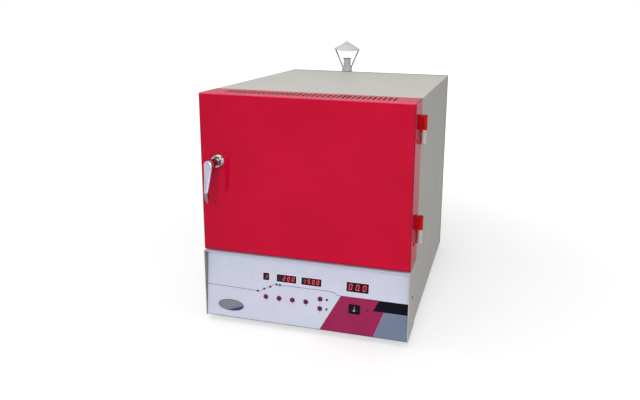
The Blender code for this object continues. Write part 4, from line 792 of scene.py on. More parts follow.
def slot_row(count, pitch, across, along, middle_y, height):
    """Nodes for a row of closed cutters with round ends, along X."""
    outline = add_node(slotting, "GeometryNodeCurvePrimitiveQuadrilateral", {
        "Width": across, "Height": along}, mode="RECTANGLE")
    end_radius = calc("MULTIPLY", calc("MINIMUM", across, along), nearly_half)
    eased = add_node(slotting, "GeometryNodeFilletCurve", {
        "Curve": outline.outputs[0], "Count": 4, "Radius": end_radius,
        "Limit Radius": True}, mode="POLY")
    face = add_node(slotting, "GeometryNodeFillCurve", {"Curve": eased.outputs[0]}, mode="NGONS")
    whole = add_node(slotting, "GeometryNodeMergeByDistance", {
        "Geometry": thickened(slotting, face.outputs[0], cut_depth), "Distance": weld})
    start = calc("MULTIPLY", calc("MULTIPLY", calc("SUBTRACT", count, 1), pitch), -0.5)
    first = add_node(slotting, "ShaderNodeCombineXYZ", {
        0: start, 1: middle_y, 2: calc("SUBTRACT", height, cut_depth / 2)})
    step = add_node(slotting, "ShaderNodeCombineXYZ", {0: pitch})
    line = add_node(slotting, "GeometryNodeMeshLine", {
        "Count": count, "Start Location": first.outputs[0], "Offset": step.outputs[0]}, mode="OFFSET")
    row = add_node(slotting, "GeometryNodeInstanceOnPoints", {
        "Points": line.outputs[0], "Instance": whole.outputs[0]})
    return add_node(slotting, "GeometryNodeRealizeInstances", {"Geometry": row.outputs[0]}).outputs[0]


print("slots can be set out in a row")

# %% Hollow the door and cut its slots
upper_z = calc("MULTIPLY", given["Height"], 0.5)
lower_z = calc("MULTIPLY", given["Height"], -0.5)
slots_y = calc("MULTIPLY_ADD", given["Slot_length"], 0.5, given["Slot_front"])
inlets_y = calc("MULTIPLY_ADD", given["Slot_width"], 0.5, given["Slot_front"])
slots = slot_row(given["Slot_count"], given["Slot_pitch"], given["Slot_width"],
                 given["Slot_length"], slots_y, upper_z)
inlets = slot_row(given["Inlet_count"], given["Inlet_pitch"], given["Inlet_length"],
                  given["Slot_width"], inlets_y, lower_z)
two_sheets = calc("MULTIPLY", given["Sheet"], 2.0)
cavity_size = add_node(slotting, "ShaderNodeCombineXYZ", {
    0: calc("SUBTRACT", given["Width"], two_sheets), 1: given["Depth"],
    2: calc("SUBTRACT", given["Height"], two_sheets)})
cavity = add_node(slotting, "GeometryNodeMeshCube", {"Size": cavity_size.outputs[0]})
cavity_moved = shifted(slotting, cavity.outputs["Mesh"],
                       Y=calc("MULTIPLY_ADD", given["Depth"], 0.5, given["Sheet"]))
bore = add_node(slotting, "GeometryNodeMeshCylinder", {
    "Vertices": 32, "Radius": given["Bore_radius"], "Depth": cut_depth})
bore_moved = add_node(slotting, "GeometryNodeTransform", {
    "Geometry": bore.outputs["Mesh"], "Translation": given["Bore_place"],
    "Rotation": (math.pi / 2, 0, 0)})
hollow = add_node(slotting, "GeometryNodeMeshBoolean", {
    "Mesh 1": given["Shape"], "Mesh 2": [cavity_moved]},
    operation="DIFFERENCE", solver="EXACT")
opened = add_node(slotting, "GeometryNodeMeshBoolean", {
    "Mesh 1": hollow.outputs["Mesh"], "Mesh 2": [slots, inlets, bore_moved.outputs[0]]},
    operation="DIFFERENCE", solver="EXACT")
end_tree(slotting, opened.outputs["Mesh"], given["Finish"], end)
print("the door tree has", len(slotting.nodes), "nodes")

# %% A block with rounded edges
def eased_block(name, middle, size, picked, ease, segments):
    """A box with its picked edges rounded."""
    shape = bmesh.new()
    place = Matrix.Translation(middle) @ Matrix.Diagonal((*size, 1))
    bmesh.ops.create_cube(shape, size=1.0, matrix=place)
    edges = [edge for edge in shape.edges if picked(*(vert.co for vert in edge.verts))]
    bmesh.ops.bevel(shape, geom=edges, offset=ease, segments=segments, profile=0.5, affect="EDGES")
    return as_mesh(name, shape)


print("blocks can be eased")

# %% Grow the door shell
front_fold = 2.5 * mm           # radius of the folds round the door's front
fold_reach = 2.6 * mm           # a fold's faces lie this close to two of the outer planes
skin = 0.4 * mm                 # and a flat face of the outside this close to one
square_on = 0.999               # the part of a face's direction that lies along one axis
slot_width = 5.2 * mm           # as wide as the photograph's slots look
door_size = door_high - door_low
door_middle_z = (door_low.z + door_high.z) / 2
handle_axis = Vector(joints["handle_turn"]["pos_m"])
start = eased_block("door block", (0, door_size.y / 2, 0), door_size,
                    lambda one, other: min(one.y, other.y) < weld, front_fold, 6)
shell = grown(slotting, start, Width=door_size.x, Depth=door_size.y, Height=door_size.z,
              Slot_width=slot_width,
              Bore_place=(handle_axis.x - middle_x, 0, handle_axis.z - door_middle_z))
shell = settled(shell, Matrix.Translation((middle_x, door_low.y, door_middle_z)))
door_finishes = [door_enamel, door_painted_highlight_enamel, rear_enamel, door_painted_shade_enamel]
flat_red, highlit_fold, painted_shade_inside, shaded_fold = range(4)
for face in shell.polygons:
    depth_in = face.center.y - door_low.y
    width_in = min(door_high.x - face.center.x, face.center.x - door_low.x)
    height_in = min(door_high.z - face.center.z, face.center.z - door_low.z)
    nearest, second, _ = sorted((depth_in, width_in, height_in))
    normal = face.normal
    if second < fold_reach and max(abs(normal.x), abs(normal.y), abs(normal.z)) < square_on:
        # A fold that looks up and forward takes the painted highlight, the other folds painted shade
        looks_up = normal.y < -0.05 and normal.z > 0.05
        face.material_index = highlit_fold if looks_up else shaded_fold
    else:
        # Faces inside the box and on the slots' walls take the dark grey enamel as painted shade
        outside = nearest < skin or normal.y > 0.5
        face.material_index = flat_red if outside else painted_shade_inside
piece = finished("slotted_door", shell, "door", "door_enamel", door_finishes, "door_shell")
even_shading(piece, 0.25 * mm)
print("the door has", len(shell.polygons), "faces")

# %% [markdown]
# ## Inside of the door
# With the door open one sees its zinc-plated back panel, the fibre plug that fills the mouth of
# the chamber, and the rope gasket round it. The gasket is rope laid in a rectangle with rounded
# corners, so the bar tree makes it from a closed path. The plug's edges are worn soft, so its
# bevel is wide.

# %% Back panel, plug and gasket
softened("door_back_panel", "zinc_steel", zinc_plate, sheet_edge)
softened("door_insulation", "fibre_board", fibre_board, 1.2 * mm)
gasket_low, gasket_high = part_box("door_gasket")
rope_width = 10 * mm
reach_x = (gasket_high.x - gasket_low.x - rope_width) / 2
reach_z = (gasket_high.z - gasket_low.z - rope_width) / 2
rope = bar([(-reach_x, -reach_z), (reach_x, -reach_z), (reach_x, reach_z), (-reach_x, reach_z)],
           rope_width, gasket_high.y - gasket_low.y,
           Matrix.Translation(middle_of("door_gasket")) @ upright,
           sides=24, ease=8 * mm, closed=True)
finished("braided_gasket", rope, "door", "fibre_rope", [fibre_rope], "door_gasket")
print("the rope has", len(rope.polygons), "faces")

# %% [markdown]
# ## Hinges
# Each hinge is a red leaf on the door whose knuckle drops over the pin of a grey socket on the
# case. The leaf and knuckle are one welded piece. The model's shape is kept. Its round parts
# have flat sides, too few for a close look, so the knuckle is turned again with more.

# %% Hinge leaves
hinge_axis = Vector(joints["door_hinge"]["pos_m"])
knuckle_radius = 6 * mm
for level in ("upper", "lower"):
    leaf_low, leaf_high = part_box("hinge_leaf_" + level)
    knuckle = turned([(0, leaf_low.z), (knuckle_radius, leaf_low.z), (knuckle_radius, leaf_high.z),
                      (0, leaf_high.z)],
                     Matrix.Translation((hinge_axis.x, hinge_axis.y, 0)), ease=0.6 * mm)
    plate = plain_copy("hinge_leaf_" + level)
    leaf, finishes = joined([(plate, hinge_enamel), (knuckle, hinge_enamel)])
    piece = finished("welded_leaf_" + level, leaf, "door", "hinge_enamel", finishes,
                     "hinge_leaf_" + level)
    even_shading(piece)
print("two hinge leaves")

# %% [markdown]
# ## Handle
# The lever is cast and chrome plated. It hangs from a round stem that stands in a conical
# escutcheon. It is widest at its head, and its tip hooks back towards the door. A loft of ovals
# follows one law for width, thickness and standoff, with many more rings than the model has,
# so that reflections run smoothly along it.

# %% Escutcheon and stem
door_front = door_low.y
handle_place = along_y(handle_axis.x, door_front, handle_axis.z)
stem_length = 39 * mm
escutcheon = turned(in_mm(
    (17.5, -0.3), (17.5, -2.0, 0.8), (13.5, -8, 0.8), (9.9, -8), (9.9, -0.3)),
    handle_place, 64, closed=True)
finished("conical_escutcheon", escutcheon, "door", "chrome_plate", [chrome_plate],
         "handle_escutcheon")
stem = turned(in_mm(
    (0, -39), (9.5, -39, 0.8), (9.5, -0.6), (4.3, -0.6), (4.3, -20.6), (0, -20.6)),
    handle_place, 48)
finished("polished_stem", stem, "handle", "chrome_plate", [chrome_plate], "handle_stem")
print("escutcheon", len(escutcheon.polygons), "faces, stem", len(stem.polygons))

# %% A loft through rings
def lofted(name, rings):
    """A closed mesh through rings of points, with a face over each end."""
    shape = bmesh.new()
    rings = [[shape.verts.new(point) for point in ring] for ring in rings]
    for upper, lower in zip(rings, rings[1:]):
        for side in range(len(upper)):
            after = (side + 1) % len(upper)
            shape.faces.new((upper[side], upper[after], lower[after], lower[side]))
    shape.faces.new(rings[0])
    shape.faces.new(rings[-1])
    return as_mesh(name, shape)


print("rings can be lofted")

# %% Sections of the lever
lever_length = 88 * mm
head_width = 21 * mm
neck_width = 9.5 * mm
tip_width = 5 * mm
head_thickness = 11 * mm
neck_thickness = 8 * mm
tip_thickness = 5 * mm
neck_share = 0.70               # how far down the lever its neck is
flare = 10 * mm                 # how far the neck stands off
hook = 9 * mm                   # how far the tip turns back
lever_swing = math.radians(2.5)     # the photograph's lever hangs a little past the vertical
lever_corner = 0.6              # 1 gives an oval section, and less a squarer one
ring_sides = 36
lever_middle_y = -(stem_length + 0.3 * mm + head_thickness / 2)


def lever_section(z):
    """Width, thickness and standoff of the lever at a height below or above its axis."""
    neck = -lever_length * neck_share
    if z >= 0:
        share = math.sqrt(max(1 - (2 * z / head_width) ** 2, 0))
        return head_width * share, head_thickness * math.sqrt(share), 0.0
    if z >= neck:
        share = z / neck
        return (head_width - (head_width - neck_width) * share,
                head_thickness - (head_thickness - neck_thickness) * share,
                -flare * share ** 1.5)
    share = (neck - z) / (lever_length + neck)
    return (neck_width - (neck_width - tip_width) * share ** 2,
            neck_thickness - (neck_thickness - tip_thickness) * share,
            hook * share ** 2 - flare)


def lever_ring(z, size=1.0):
    """The points of the lever's section at a height."""
    width, thickness, standoff = lever_section(z)
    ring = []
    for side in range(ring_sides):
        angle = math.tau * (side + 0.5) / ring_sides
        across, out = [math.copysign(abs(value) ** lever_corner, value)
                       for value in (math.cos(angle), math.sin(angle))]
        ring.append((width / 2 * across * size,
                     lever_middle_y + standoff + thickness / 2 * out * size, z))
    return ring


print("the lever reaches", round(lever_length / mm), "mm down from its axis")

# %% Lever
head_turns = (4, 12, 22, 34, 46, 58, 70, 80)        # degrees from the top of the round head
tip_rings = ((0.015, 1.0), (0.004, 0.86), (0.0, 0.55))      # share of length left, and size
arm_rings = 40
heights = [head_width / 2 * math.cos(math.radians(turn)) for turn in head_turns]
heights += [-lever_length * step / arm_rings for step in range(arm_rings)]
rings = [lever_ring(z) for z in heights]
rings += [lever_ring(-lever_length * (1 - gap), size) for gap, size in tip_rings]
lever = lofted("lever", rings)
# Below its neck the lever takes the darker chrome, a painted reflection
for face in lever.polygons:
    face.material_index = int(face.center.z < -lever_length * neck_share)
lever_place = (Matrix.Translation((handle_axis.x, door_front, handle_axis.z))
               @ Matrix.Rotation(lever_swing, 4, "Y"))
lever = settled(lever, lever_place)
finished("cast_lever", lever, "handle", "chrome_plate", [satin_chrome, dark_tip_chrome],
         "handle_lever")
lever_face = lever_place @ Matrix.Translation((0, lever_middle_y - 5.1 * mm, 0))
notch = bar(in_mm((2.8, -9.8), (7.6, -4.8)), 1.5 * mm, 1.2 * mm, lever_face @ upright, sides=8)
finished("lever_index_mark", notch, "handle", "chrome_plate", [rear_enamel])
print("the lever has", len(lever.polygons), "faces")

# %% [markdown]
# ## Chimney
# Behind the case a bent pipe leaves the flue and turns up into a turned collar. A thin tube with
# a flared lip stands in it, and a cone on two rods keeps dust out. All of it is turned, apart
# from the bent pipe, which is the bar tree with an open end and a wall given by Solidify.

# %% Turned chimney pieces
collar_low, collar_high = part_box("stack_collar")
tube_low, tube_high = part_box("stack_tube")
stack_axis = middle_of("stack_tube")
stack_place = Matrix.Translation((stack_axis.x, stack_axis.y, 0))
collar_radius = (collar_high.x - collar_low.x) / 2
collar_top = collar_high.z
tube_top = tube_high.z
collar = turned([
    (collar_radius, collar_low.z), (collar_radius, collar_top - 5.5 * mm, 1.5 * mm),
    (12.1 * mm, collar_top, 0.5 * mm), (10.6 * mm, collar_top), (10.6 * mm, collar_top - 20 * mm),
    (15.4 * mm, collar_top - 20 * mm), (15.4 * mm, collar_low.z)], stack_place, 64, closed=True)
finished("turned_collar", collar, "furnace", "stainless_steel", [stainless_steel], "stack_collar")

lip = (tube_high.x - tube_low.x) / 2
tube = turned([
    (10.2 * mm, tube_low.z), (10.2 * mm, collar_top - 1.5 * mm, 1 * mm),
    (11.3 * mm, collar_top, 1 * mm), (11.3 * mm, tube_top - 3 * mm, 1.5 * mm),
    (lip, tube_top - 2.2 * mm, 0.4 * mm), (lip, tube_top, 0.4 * mm),
    (10 * mm, tube_top, 0.4 * mm), (8.7 * mm, tube_low.z)], stack_place, 48, closed=True)
rim = turned([
    (lip - 1.4 * mm, tube_top - 0.4 * mm), (lip, tube_top - 2.4 * mm, 0.3 * mm),
    (lip + 0.9 * mm, tube_top - 2.2 * mm, 0.3 * mm), (lip + 0.9 * mm, tube_top, 0.3 * mm),
    (lip - 1.4 * mm, tube_top, 0.3 * mm)], stack_place, 48, closed=True)
tube, finishes = joined([(tube, stainless_steel), (rim, drawn_wire)])
finished("flared_tube", tube, "furnace", "stainless_steel", finishes, "stack_tube")
print("collar and tube:", len(collar.polygons), len(tube.polygons), "faces")

# %% Cap on its rods
cap_low, cap_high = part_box("chimney_cap")
cap_radius = (cap_high.x - cap_low.x) / 2
cap_rim = cap_high.z - 24.5 * mm    # the cone's lower edge
cap_wall = 1.6 * mm
rod_radius = 1.9 * mm
cap_shift = -1 * mm                 # the photograph's cap sits a little to the left of the tube
cap_lean = math.radians(2)          # and a little askew
cap_nod = math.radians(4)           # and its front hangs lower than its back
cap_place = (stack_place @ Matrix.Translation((cap_shift, 0, cap_rim))
             @ Matrix.Rotation(cap_lean, 4, "Y") @ Matrix.Rotation(cap_nod, 4, "X")
             @ Matrix.Translation((0, 0, -cap_rim)))
cone = turned([
    (0, cap_high.z), (cap_radius, cap_rim, 0.4 * mm), (cap_radius, cap_rim - 1.4 * mm, 0.4 * mm),
    (cap_radius - cap_wall, cap_rim - 1.4 * mm, 0.3 * mm), (0, cap_high.z - cap_wall)],
    cap_place, 72)
rods = []
for side in (-1, 1):
    foot = stack_place @ Vector((side * 13.6 * mm, 0, collar_top - 2.6 * mm))
    head = cap_place @ Vector((side * (cap_radius - 0.9 * mm), 0, cap_rim - 0.2 * mm))
    lean = (head - foot).to_track_quat("Z", "Y").to_matrix().to_4x4()
    length = (head - foot).length
    rods.append(turned([(0, 0), (rod_radius, 0), (rod_radius, length), (0, length)],
                       Matrix.Translation(foot) @ lean, 16))
cap, finishes = joined([(cone, cap_steel)] + [(rod, drawn_wire) for rod in rods])
finished("cone_cap", cap, "furnace", "stainless_steel", finishes, "chimney_cap")
print("the cap and its rods have", len(cap.polygons), "faces")

# %% Bent pipe and its flange
elbow_low, elbow_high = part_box("flue_elbow")
pipe_width = 30 * mm
flange_y = elbow_low.y
flange_side = 56 * mm
flange_thickness = 2 * mm
flue_z = middle_of("flue_duct").z
flange = eased_block("flange", (stack_axis.x, flange_y + flange_thickness / 2, flue_z),
                     (flange_side, flange_thickness, flange_side),
                     lambda one, other: abs(one.y - other.y) > weld, 5 * mm, 5)
rise = stack_axis.y - flange_y
stand = Matrix(((0, 0, 1, stack_axis.x), (1, 0, 0, flange_y), (0, 1, 0, flue_z), (0, 0, 0, 1)))
pipe = bar([(0, 0), (rise, 0), (rise, elbow_high.z - flue_z)], pipe_width, pipe_width, None,
           sides=40, ease=26 * mm, capped=False, steps=12)
pipe = settled(pipe, stand)
piece = finished("bent_pipe", pipe, "furnace", "stainless_steel", [stainless_steel], "flue_elbow")
wall = piece.modifiers.new("pipe wall", "SOLIDIFY")
wall.thickness = 2 * mm
wall.offset = -1.0
piece = finished("pipe_flange", settled(flange), "furnace", "stainless_steel", [stainless_steel])
even_shading(piece, 0.3 * mm)
print("the bent pipe has", len(pipe.polygons), "faces")

# %% [markdown]
# ## Console film
# The film carries the furnace's graphics: a pale field, a slanted magenta block round the power
# switch, a dark label and a slate block. They could be painted by a pattern, but ink meets in
# straight hard lines, so the film's mesh is cut along those lines and each face takes the ink
# of the block that it lies in. The openings come with the model's mesh. The same colours run
# on over the folded foot of the sheet panel, so that one is cut and inked in the same way. A
# thin dark rubber bar along the panel's lower edge is painted shade, the shadow line under it.

# %% Blocks of the print
film_half = (film_high.x - film_low.x) / 2
band_top = 88.4 * mm
band_middle = 61.9 * mm
band_foot = -8 * mm             # the print runs on round the fold at the panel's foot


def magenta_edge(row):
    """The left edge of the magenta block at a height on the panel."""
    return 40.4 * mm + 0.559 * row, row


def slate_edge(row):
    """The edge between the magenta and the slate block at a height on the panel."""
    return 169.4 * mm + 0.376 * row, row


magenta_corner = (89.8 * mm, band_top)
label_corner = (180 * mm, band_top)
label_foot = (166.5 * mm, band_middle)
slate_corner = (192.7 * mm, band_middle)
blocks = (
    ("label", [label_corner, (film_half, band_top), (film_half, band_middle), label_foot]),
    ("slate", [slate_corner, (film_half, band_middle), (film_half, band_foot),
               slate_edge(band_foot)]),
    ("magenta", [magenta_corner, label_corner, label_foot, slate_corner,
                 slate_edge(band_foot), magenta_edge(band_foot)]))
print("printed blocks:", ", ".join(name for name, outline in blocks))

# %% Cut the film and the panel and print them
flat = panel_place.inverted()       # takes a point of the furnace to x, depth and row


def lies_in(x, row, outline):
    """Whether a point of the panel lies in an outline."""
    found = False
    for (x1, row1), (x2, row2) in zip(outline, outline[1:] + outline[:1]):
        if (row1 > row) != (row2 > row) and x < (x2 - x1) * (row - row1) / (row2 - row1) + x1:
            found = not found
    return found


def printed(node, plain):
    """A copy of a console piece, cut along the lines of the print, and its finishes."""
    finishes = [plain] + [film[name] for name, outline in blocks]
    mesh = plain_copy(node)
    shape = bmesh.new()
    shape.from_mesh(mesh)
    for name, outline in blocks:
        for (x1, row1), (x2, row2) in zip(outline, outline[1:] + outline[:1]):
            if min(x1, x2) >= film_half or max(row1, row2) <= 0:
                continue
            corner = panel_place @ Vector((x1, 0, row1))
            along = panel_place.to_3x3() @ Vector((x2 - x1, 0, row2 - row1))
            everything = shape.verts[:] + shape.edges[:] + shape.faces[:]
            bmesh.ops.bisect_plane(shape, geom=everything, dist=weld, plane_co=corner,
                                   plane_no=along.cross(panel_into).normalized())
    for face in shape.faces:
        centre = flat @ face.calc_center_median()
        inked = [film[name] for name, outline in blocks if lies_in(centre.x, centre.z, outline)]
        behind = face.normal.dot(panel_into) > 0.5
        face.material_index = finishes.index(inked[0]) if inked and not behind else 0
    shape.to_mesh(mesh)
    shape.free()
    return mesh, finishes


mesh, finishes = printed("panel_overlay", film["pale"])
finished("printed_film", mesh, "furnace", "overlay_print", finishes, "panel_overlay")
print("the film has", len(mesh.polygons), "faces")
mesh, finishes = printed("control_panel", console_enamel)
piece = finished("folded_panel", mesh, "furnace", "panel_enamel", finishes, "control_panel")
even_shading(piece)
# A dark rubber bar along the panel's lower edge: painted shade, the shadow line beneath it
shade_line_width = 1.2 * mm
shade_line = bar(in_mm((-248.2, 0.1), (248.2, 0.1)), shade_line_width, shade_line_width,
           panel_place @ Matrix.Translation((0, shade_line_width / 2, 0)) @ upright, sides=10)
finished("panel_edge_painted_shade", shade_line, "furnace", "foot_rubber", [foot_rubber])

# %% [markdown]
# ## Printed lines and numbers
# A thin line runs across the film and climbs through the lamps as a small graph of the firing.
# Pale keylines frame the displays and a darker line runs round the magenta block. A dark ring
# round each button is painted shade at the button's edge. Plain numbers stand under the buttons.
# A line is a nearly flat bar from the bar tree, a few hundredths of a millimetre proud of the
# film. A number is a text turned into a mesh before it is placed.

# %% Where things are on the panel
on_film = panel_place @ upright     # a drawing's X and Y become x and row
display_row = 112.4 * mm
displays = {        # middle, width and height; digits, their pitch, offset and height
    "program_display": (-96.4 * mm, 14.6 * mm, 17.2 * mm, "1", 11.2 * mm, -0.5 * mm, 10.9 * mm),
    "setpoint_display": (-45.2 * mm, 48.4 * mm, 17.2 * mm, " 200", 11.2 * mm, -0.6 * mm, 10.9 * mm),
    "time_display": (16.5 * mm, 48.4 * mm, 17.2 * mm, "1500", 11.2 * mm, -0.6 * mm, 10.9 * mm),
    "chamber_display": (128.0 * mm, 52.0 * mm, 22.2 * mm, "00.0", 16.6 * mm, 0.0, 14.2 * mm),
}
button_row = 62.5 * mm
button_step = 11.5 * mm             # the last two stand this far above and below the row
buttons = [(x * mm, button_row) for x in (-96, -62.5, -29, 4.5)]
buttons += [(39.3 * mm, button_row + way * button_step) for way in (1, -1)]
lamps = in_mm((-116.9, 74.4), (-100.8, 81.5), (-85.3, 88.4), (-69.4, 95.5), (-61.2, 95.5),
              (55.8, 74), (55.8, 51), (153.0, 61.7))
print("displays:", len(displays), "buttons:", len(buttons), "lamps:", len(lamps))

# %% Lines on the film
ink_height = 0.12 * mm
line_width = 1.1 * mm
border_width = 1.2 * mm
button_shade_width = 0.7 * mm
button_shade_radius = 5.9 * mm
border_row = 1.2 * mm               # where the borders start, just above the panel's edge
graph_lines = (
    ("graph", in_mm((-247, 76.9), (-116.9, 74.4))),
    ("curve", in_mm((-116.9, 74.4), (-110, 74.6), (-100.8, 81.5), (-93, 84.6), (-85.3, 88.4),
                    (-76, 95.5), (-61.2, 95.5))),
    ("graph", in_mm((-61.2, 95.5), (62.7, 95.5), (73.6, 94.3), (80.7, 88.6), (89.8, 88.4))))
borders = (
    ("border", [slate_edge(border_row), magenta_edge(border_row), magenta_corner, label_corner]),
    ("seam", [slate_edge(border_row), slate_corner]))


def circle(middle, across, up, sides):
    """A path of points round a circle or an oval with the given half sizes."""
    turns = [math.tau * step / sides for step in range(sides)]
    return [(middle[0] + across * math.cos(turn), middle[1] + up * math.sin(turn)) for turn in turns]


def ink_line(ink, path, width, **more):
    """A printed line and its ink."""
    return bar(path, width, ink_height, on_film, sides=8, **more), film[ink]


lines = [ink_line(ink, path, line_width, ease=4 * mm) for ink, path in graph_lines]
for x, width, height, *_ in displays.values():
    reach = width / 2 + line_width
    rise = height / 2 + line_width
    corners = [(x - reach, display_row - rise), (x + reach, display_row - rise),
               (x + reach, display_row + rise), (x - reach, display_row + rise)]
    lines.append(ink_line("keyline", corners, line_width, ease=0.6 * mm, closed=True))
lines += [ink_line(ink, path, border_width) for ink, path in borders]
# A dark ring round each button: painted shade at its edge
for middle in buttons:
    ring = circle(middle, button_shade_radius, button_shade_radius, 32)
    lines.append(ink_line("border", ring, button_shade_width, closed=True))
mesh, finishes = joined(lines)
finished("printed_lines", mesh, "furnace", "overlay_print", finishes)
print("printed lines:", len(lines))


# %% Numbers under the buttons
def number(text, height, place, thickness):
    """A plain number as a mesh, standing on a place whose X and Y it is drawn in."""
    curve = bpy.data.curves.new("number", "FONT")
    curve.body = text
    curve.size = height
    curve.extrude = thickness / 2
    curve.align_x = "CENTER"
    curve.align_y = "CENTER"
    holder = bpy.data.objects.new("number", curve)
    scene.collection.objects.link(holder)
    bpy.context.view_layer.update()
    return settled(baked(holder), place)


number_drop = 9.4 * mm
number_height = 5.2 * mm
marks = []
for index, (x, row) in enumerate(buttons):
    place = on_film @ Matrix.Translation((x, row - number_drop, 0))
    marks.append((number(str(index + 1), number_height, place, ink_height), film["mark"]))
mesh, finishes = joined(marks)
finished("printed_numbers", mesh, "furnace", "overlay_print", finishes)
print("numbers:", len(marks))

# %% [markdown]
# ## Displays
# The displays are red seven-segment digits behind dark windows. Each segment is a flat bar with
# pointed ends. The tree sets one segment on each point, turned and stretched by the point's own
# values. It runs twice for a display, for the lit segments and for the unlit ones, because they
# have different finishes. The digits lean a little, as the real ones do.

# %% The segment tree
lighting, given, end = new_tree(
    "digit segments", Length=("Float", 5 * mm), Width=("Float", 1.4 * mm), Height=("Float", 0.15 * mm))
calc = math_node(lighting)
hexagon = add_node(lighting, "GeometryNodeMeshCircle", {
    "Vertices": 6, "Radius": 1.0}, fill_type="NGON")
split = add_node(lighting, "ShaderNodeSeparateXYZ", {
    0: add_node(lighting, "GeometryNodeInputPosition").outputs[0]})
half_width = calc("MULTIPLY", given["Width"], 0.5)
side = calc("SIGN", split.outputs["X"])
from_tip = calc("SUBTRACT", 1.0, calc("ABSOLUTE", split.outputs["X"]))
inset = calc("MULTIPLY", from_tip, given["Width"])
reach = calc("SUBTRACT", calc("MULTIPLY", given["Length"], 0.5), inset)
hexagon_height = math.sqrt(0.75)
tall = calc("MULTIPLY", calc("DIVIDE", split.outputs["Y"], hexagon_height), half_width)
corner = add_node(lighting, "ShaderNodeCombineXYZ", {0: calc("MULTIPLY", side, reach), 1: tall})
stretched = add_node(lighting, "GeometryNodeSetPosition", {
    "Geometry": hexagon.outputs["Mesh"], "Position": corner.outputs[0]})
raised = thickened(lighting, stretched.outputs[0], given["Height"])
turn = add_node(lighting, "GeometryNodeInputNamedAttribute", {"Name": "turn"}, data_type="FLOAT")
spin = add_node(lighting, "ShaderNodeCombineXYZ", {2: turn.outputs[0]})
spun = add_node(lighting, "FunctionNodeEulerToRotation", {0: spin.outputs[0]})
share = add_node(lighting, "GeometryNodeInputNamedAttribute", {"Name": "share"}, data_type="FLOAT")
scale = add_node(lighting, "ShaderNodeCombineXYZ", {0: share.outputs[0], 1: 1.0, 2: 1.0})
copies = add_node(lighting, "GeometryNodeInstanceOnPoints", {
    "Points": given["Shape"], "Instance": raised, "Rotation": spun.outputs[0],
    "Scale": scale.outputs[0]})
end_tree(lighting, copies.outputs[0], given["Finish"], end)
print("the segment tree has", len(lighting.nodes), "nodes")

# %% Digits on the displays
segment_places = {          # middle of each segment in half widths and half heights, and its turn
    "a": (0, 1, 0), "b": (1, 0.5, 1), "c": (1, -0.5, 1), "d": (0, -1, 0), "e": (-1, -0.5, 1),
    "f": (-1, 0.5, 1), "g": (0, 0, 0)}
lit_for = {"0": "abcdef", "1": "bc", "2": "abged", "5": "afgcd", " ": ""}
segment_width = 1.5 * mm
segment_gap = 0.3 * mm
point_reach = 2.4 * mm      # from the right segments to the decimal point
point_share = 0.3           # of a segment's length
window_depth = 0.5 * mm
lean = Matrix(((1, math.tan(math.radians(8)), 0, 0), (0, 1, 0, 0), (0, 0, 1, 0), (0, 0, 0, 1)))


def segment_points(text, pitch, offset, height, lit):
    """Places, turns and shares of length of the lit or the unlit segments of a display."""
    cells = text.replace(".", "")
    half_high = (height - segment_width) / 2
    half_wide = half_high * 0.5         # the middles of the side segments are half as far out
    found = []
    for cell, digit in enumerate(cells):
        middle = offset + (cell - (len(cells) - 1) / 2) * pitch
        for name, (across, up, turn) in segment_places.items():
            if (name in lit_for[digit]) == lit:
                found.append((middle + across * half_wide, up * half_high, turn * math.pi / 2, 1.0))
        point_shown = "." in text and cell == text.index(".") - 1
        if point_shown == lit and "." in text:
            found.append((middle + half_wide + point_reach, -half_high, 0.0, point_share))
    return found


for name, (x, width, height, text, pitch, offset, digit_height) in displays.items():
    parts = []
    for lit, finish in ((True, lit_segment), (False, unlit_segment)):
        found = segment_points(text, pitch, offset, digit_height, lit)
        if not found:
            continue
        start = bpy.data.meshes.new("segments")
        start.from_pydata([(across, up, 0) for across, up, turn, share in found], [], [])
        for label, column in (("turn", 2), ("share", 3)):
            values = start.attributes.new(label, "FLOAT", "POINT").data
            values.foreach_set("value", [entry[column] for entry in found])
        length = (digit_height - segment_width) / 2 - segment_gap
        mesh = grown(lighting, start, Length=length, Width=segment_width)
        place = on_film @ Matrix.Translation((x, display_row, -window_depth)) @ lean
        parts.append((settled(mesh, place), finish))
    mesh, finishes = joined(parts)
    finished("digits_of_" + name, mesh, "furnace", "display_window", finishes)
    softened(name, "display_window", display_window, 0.15 * mm)
    print(name, "shows", repr(text), "with", len(mesh.polygons), "faces")

# %% [markdown]
# ## Buttons, lamps and badge
# The buttons are moulded with a shallow dome and sit in round holes of the film, held by their
# flange. The lamps are small domed lenses over the lamps of the circuit board. The badge is an
# oval of alloy, domed under clear lacquer and left plain. All are turned shapes.

# %% Turn the buttons and lenses
button_profile = in_mm(
    (0, -2.4), (2.6, -2.25, 0.5), (4.3, -1.85, 1.0), (5, -1.1, 0.6), (5, 2.5), (6.4, 2.5, 0.1),
    (6.4, 3.5, 0.1), (2, 3.5), (2, 11.4), (0, 11.4))
for index, (x, row) in enumerate(buttons):
    mesh = turned(button_profile, panel_place @ along_y(x, 0, row), 40)
    name = f"button_{index + 1}"
    finished("domed_" + name, mesh, name, "button_plastic", [button_plastic], name)

lens_profile = in_mm(
    (0, -0.88), (1.5, -0.75, 0.5), (2.5, -0.2, 0.3), (2.9, -0.15, 0.05), (2.9, 0), (2.5, 0),
    (2.5, 2.2), (0, 2.2))
mesh, finishes = joined([(turned(lens_profile, panel_place @ along_y(x, 0, row), 28), lamp_plastic)
                         for x, row in lamps])
finished("lamp_lenses", mesh, "furnace", "display_window", finishes)

board_front = 15.6 * mm
lens_gap = 1.2 * mm         # the model's flat lamp tips go this far back, behind the lenses
board = plain_copy("control_board")
for vertex in board.vertices:
    if (flat @ vertex.co).y < 0:
        vertex.co += panel_into * lens_gap
for face in board.polygons:
    face.material_index = int((flat @ face.center).y < board_front)
finished("soldered_board", board, "furnace", "circuit_board", [circuit_board, lamp_plastic],
         "control_board")
print("buttons and lenses are in, and the board has", len(board.polygons), "faces")

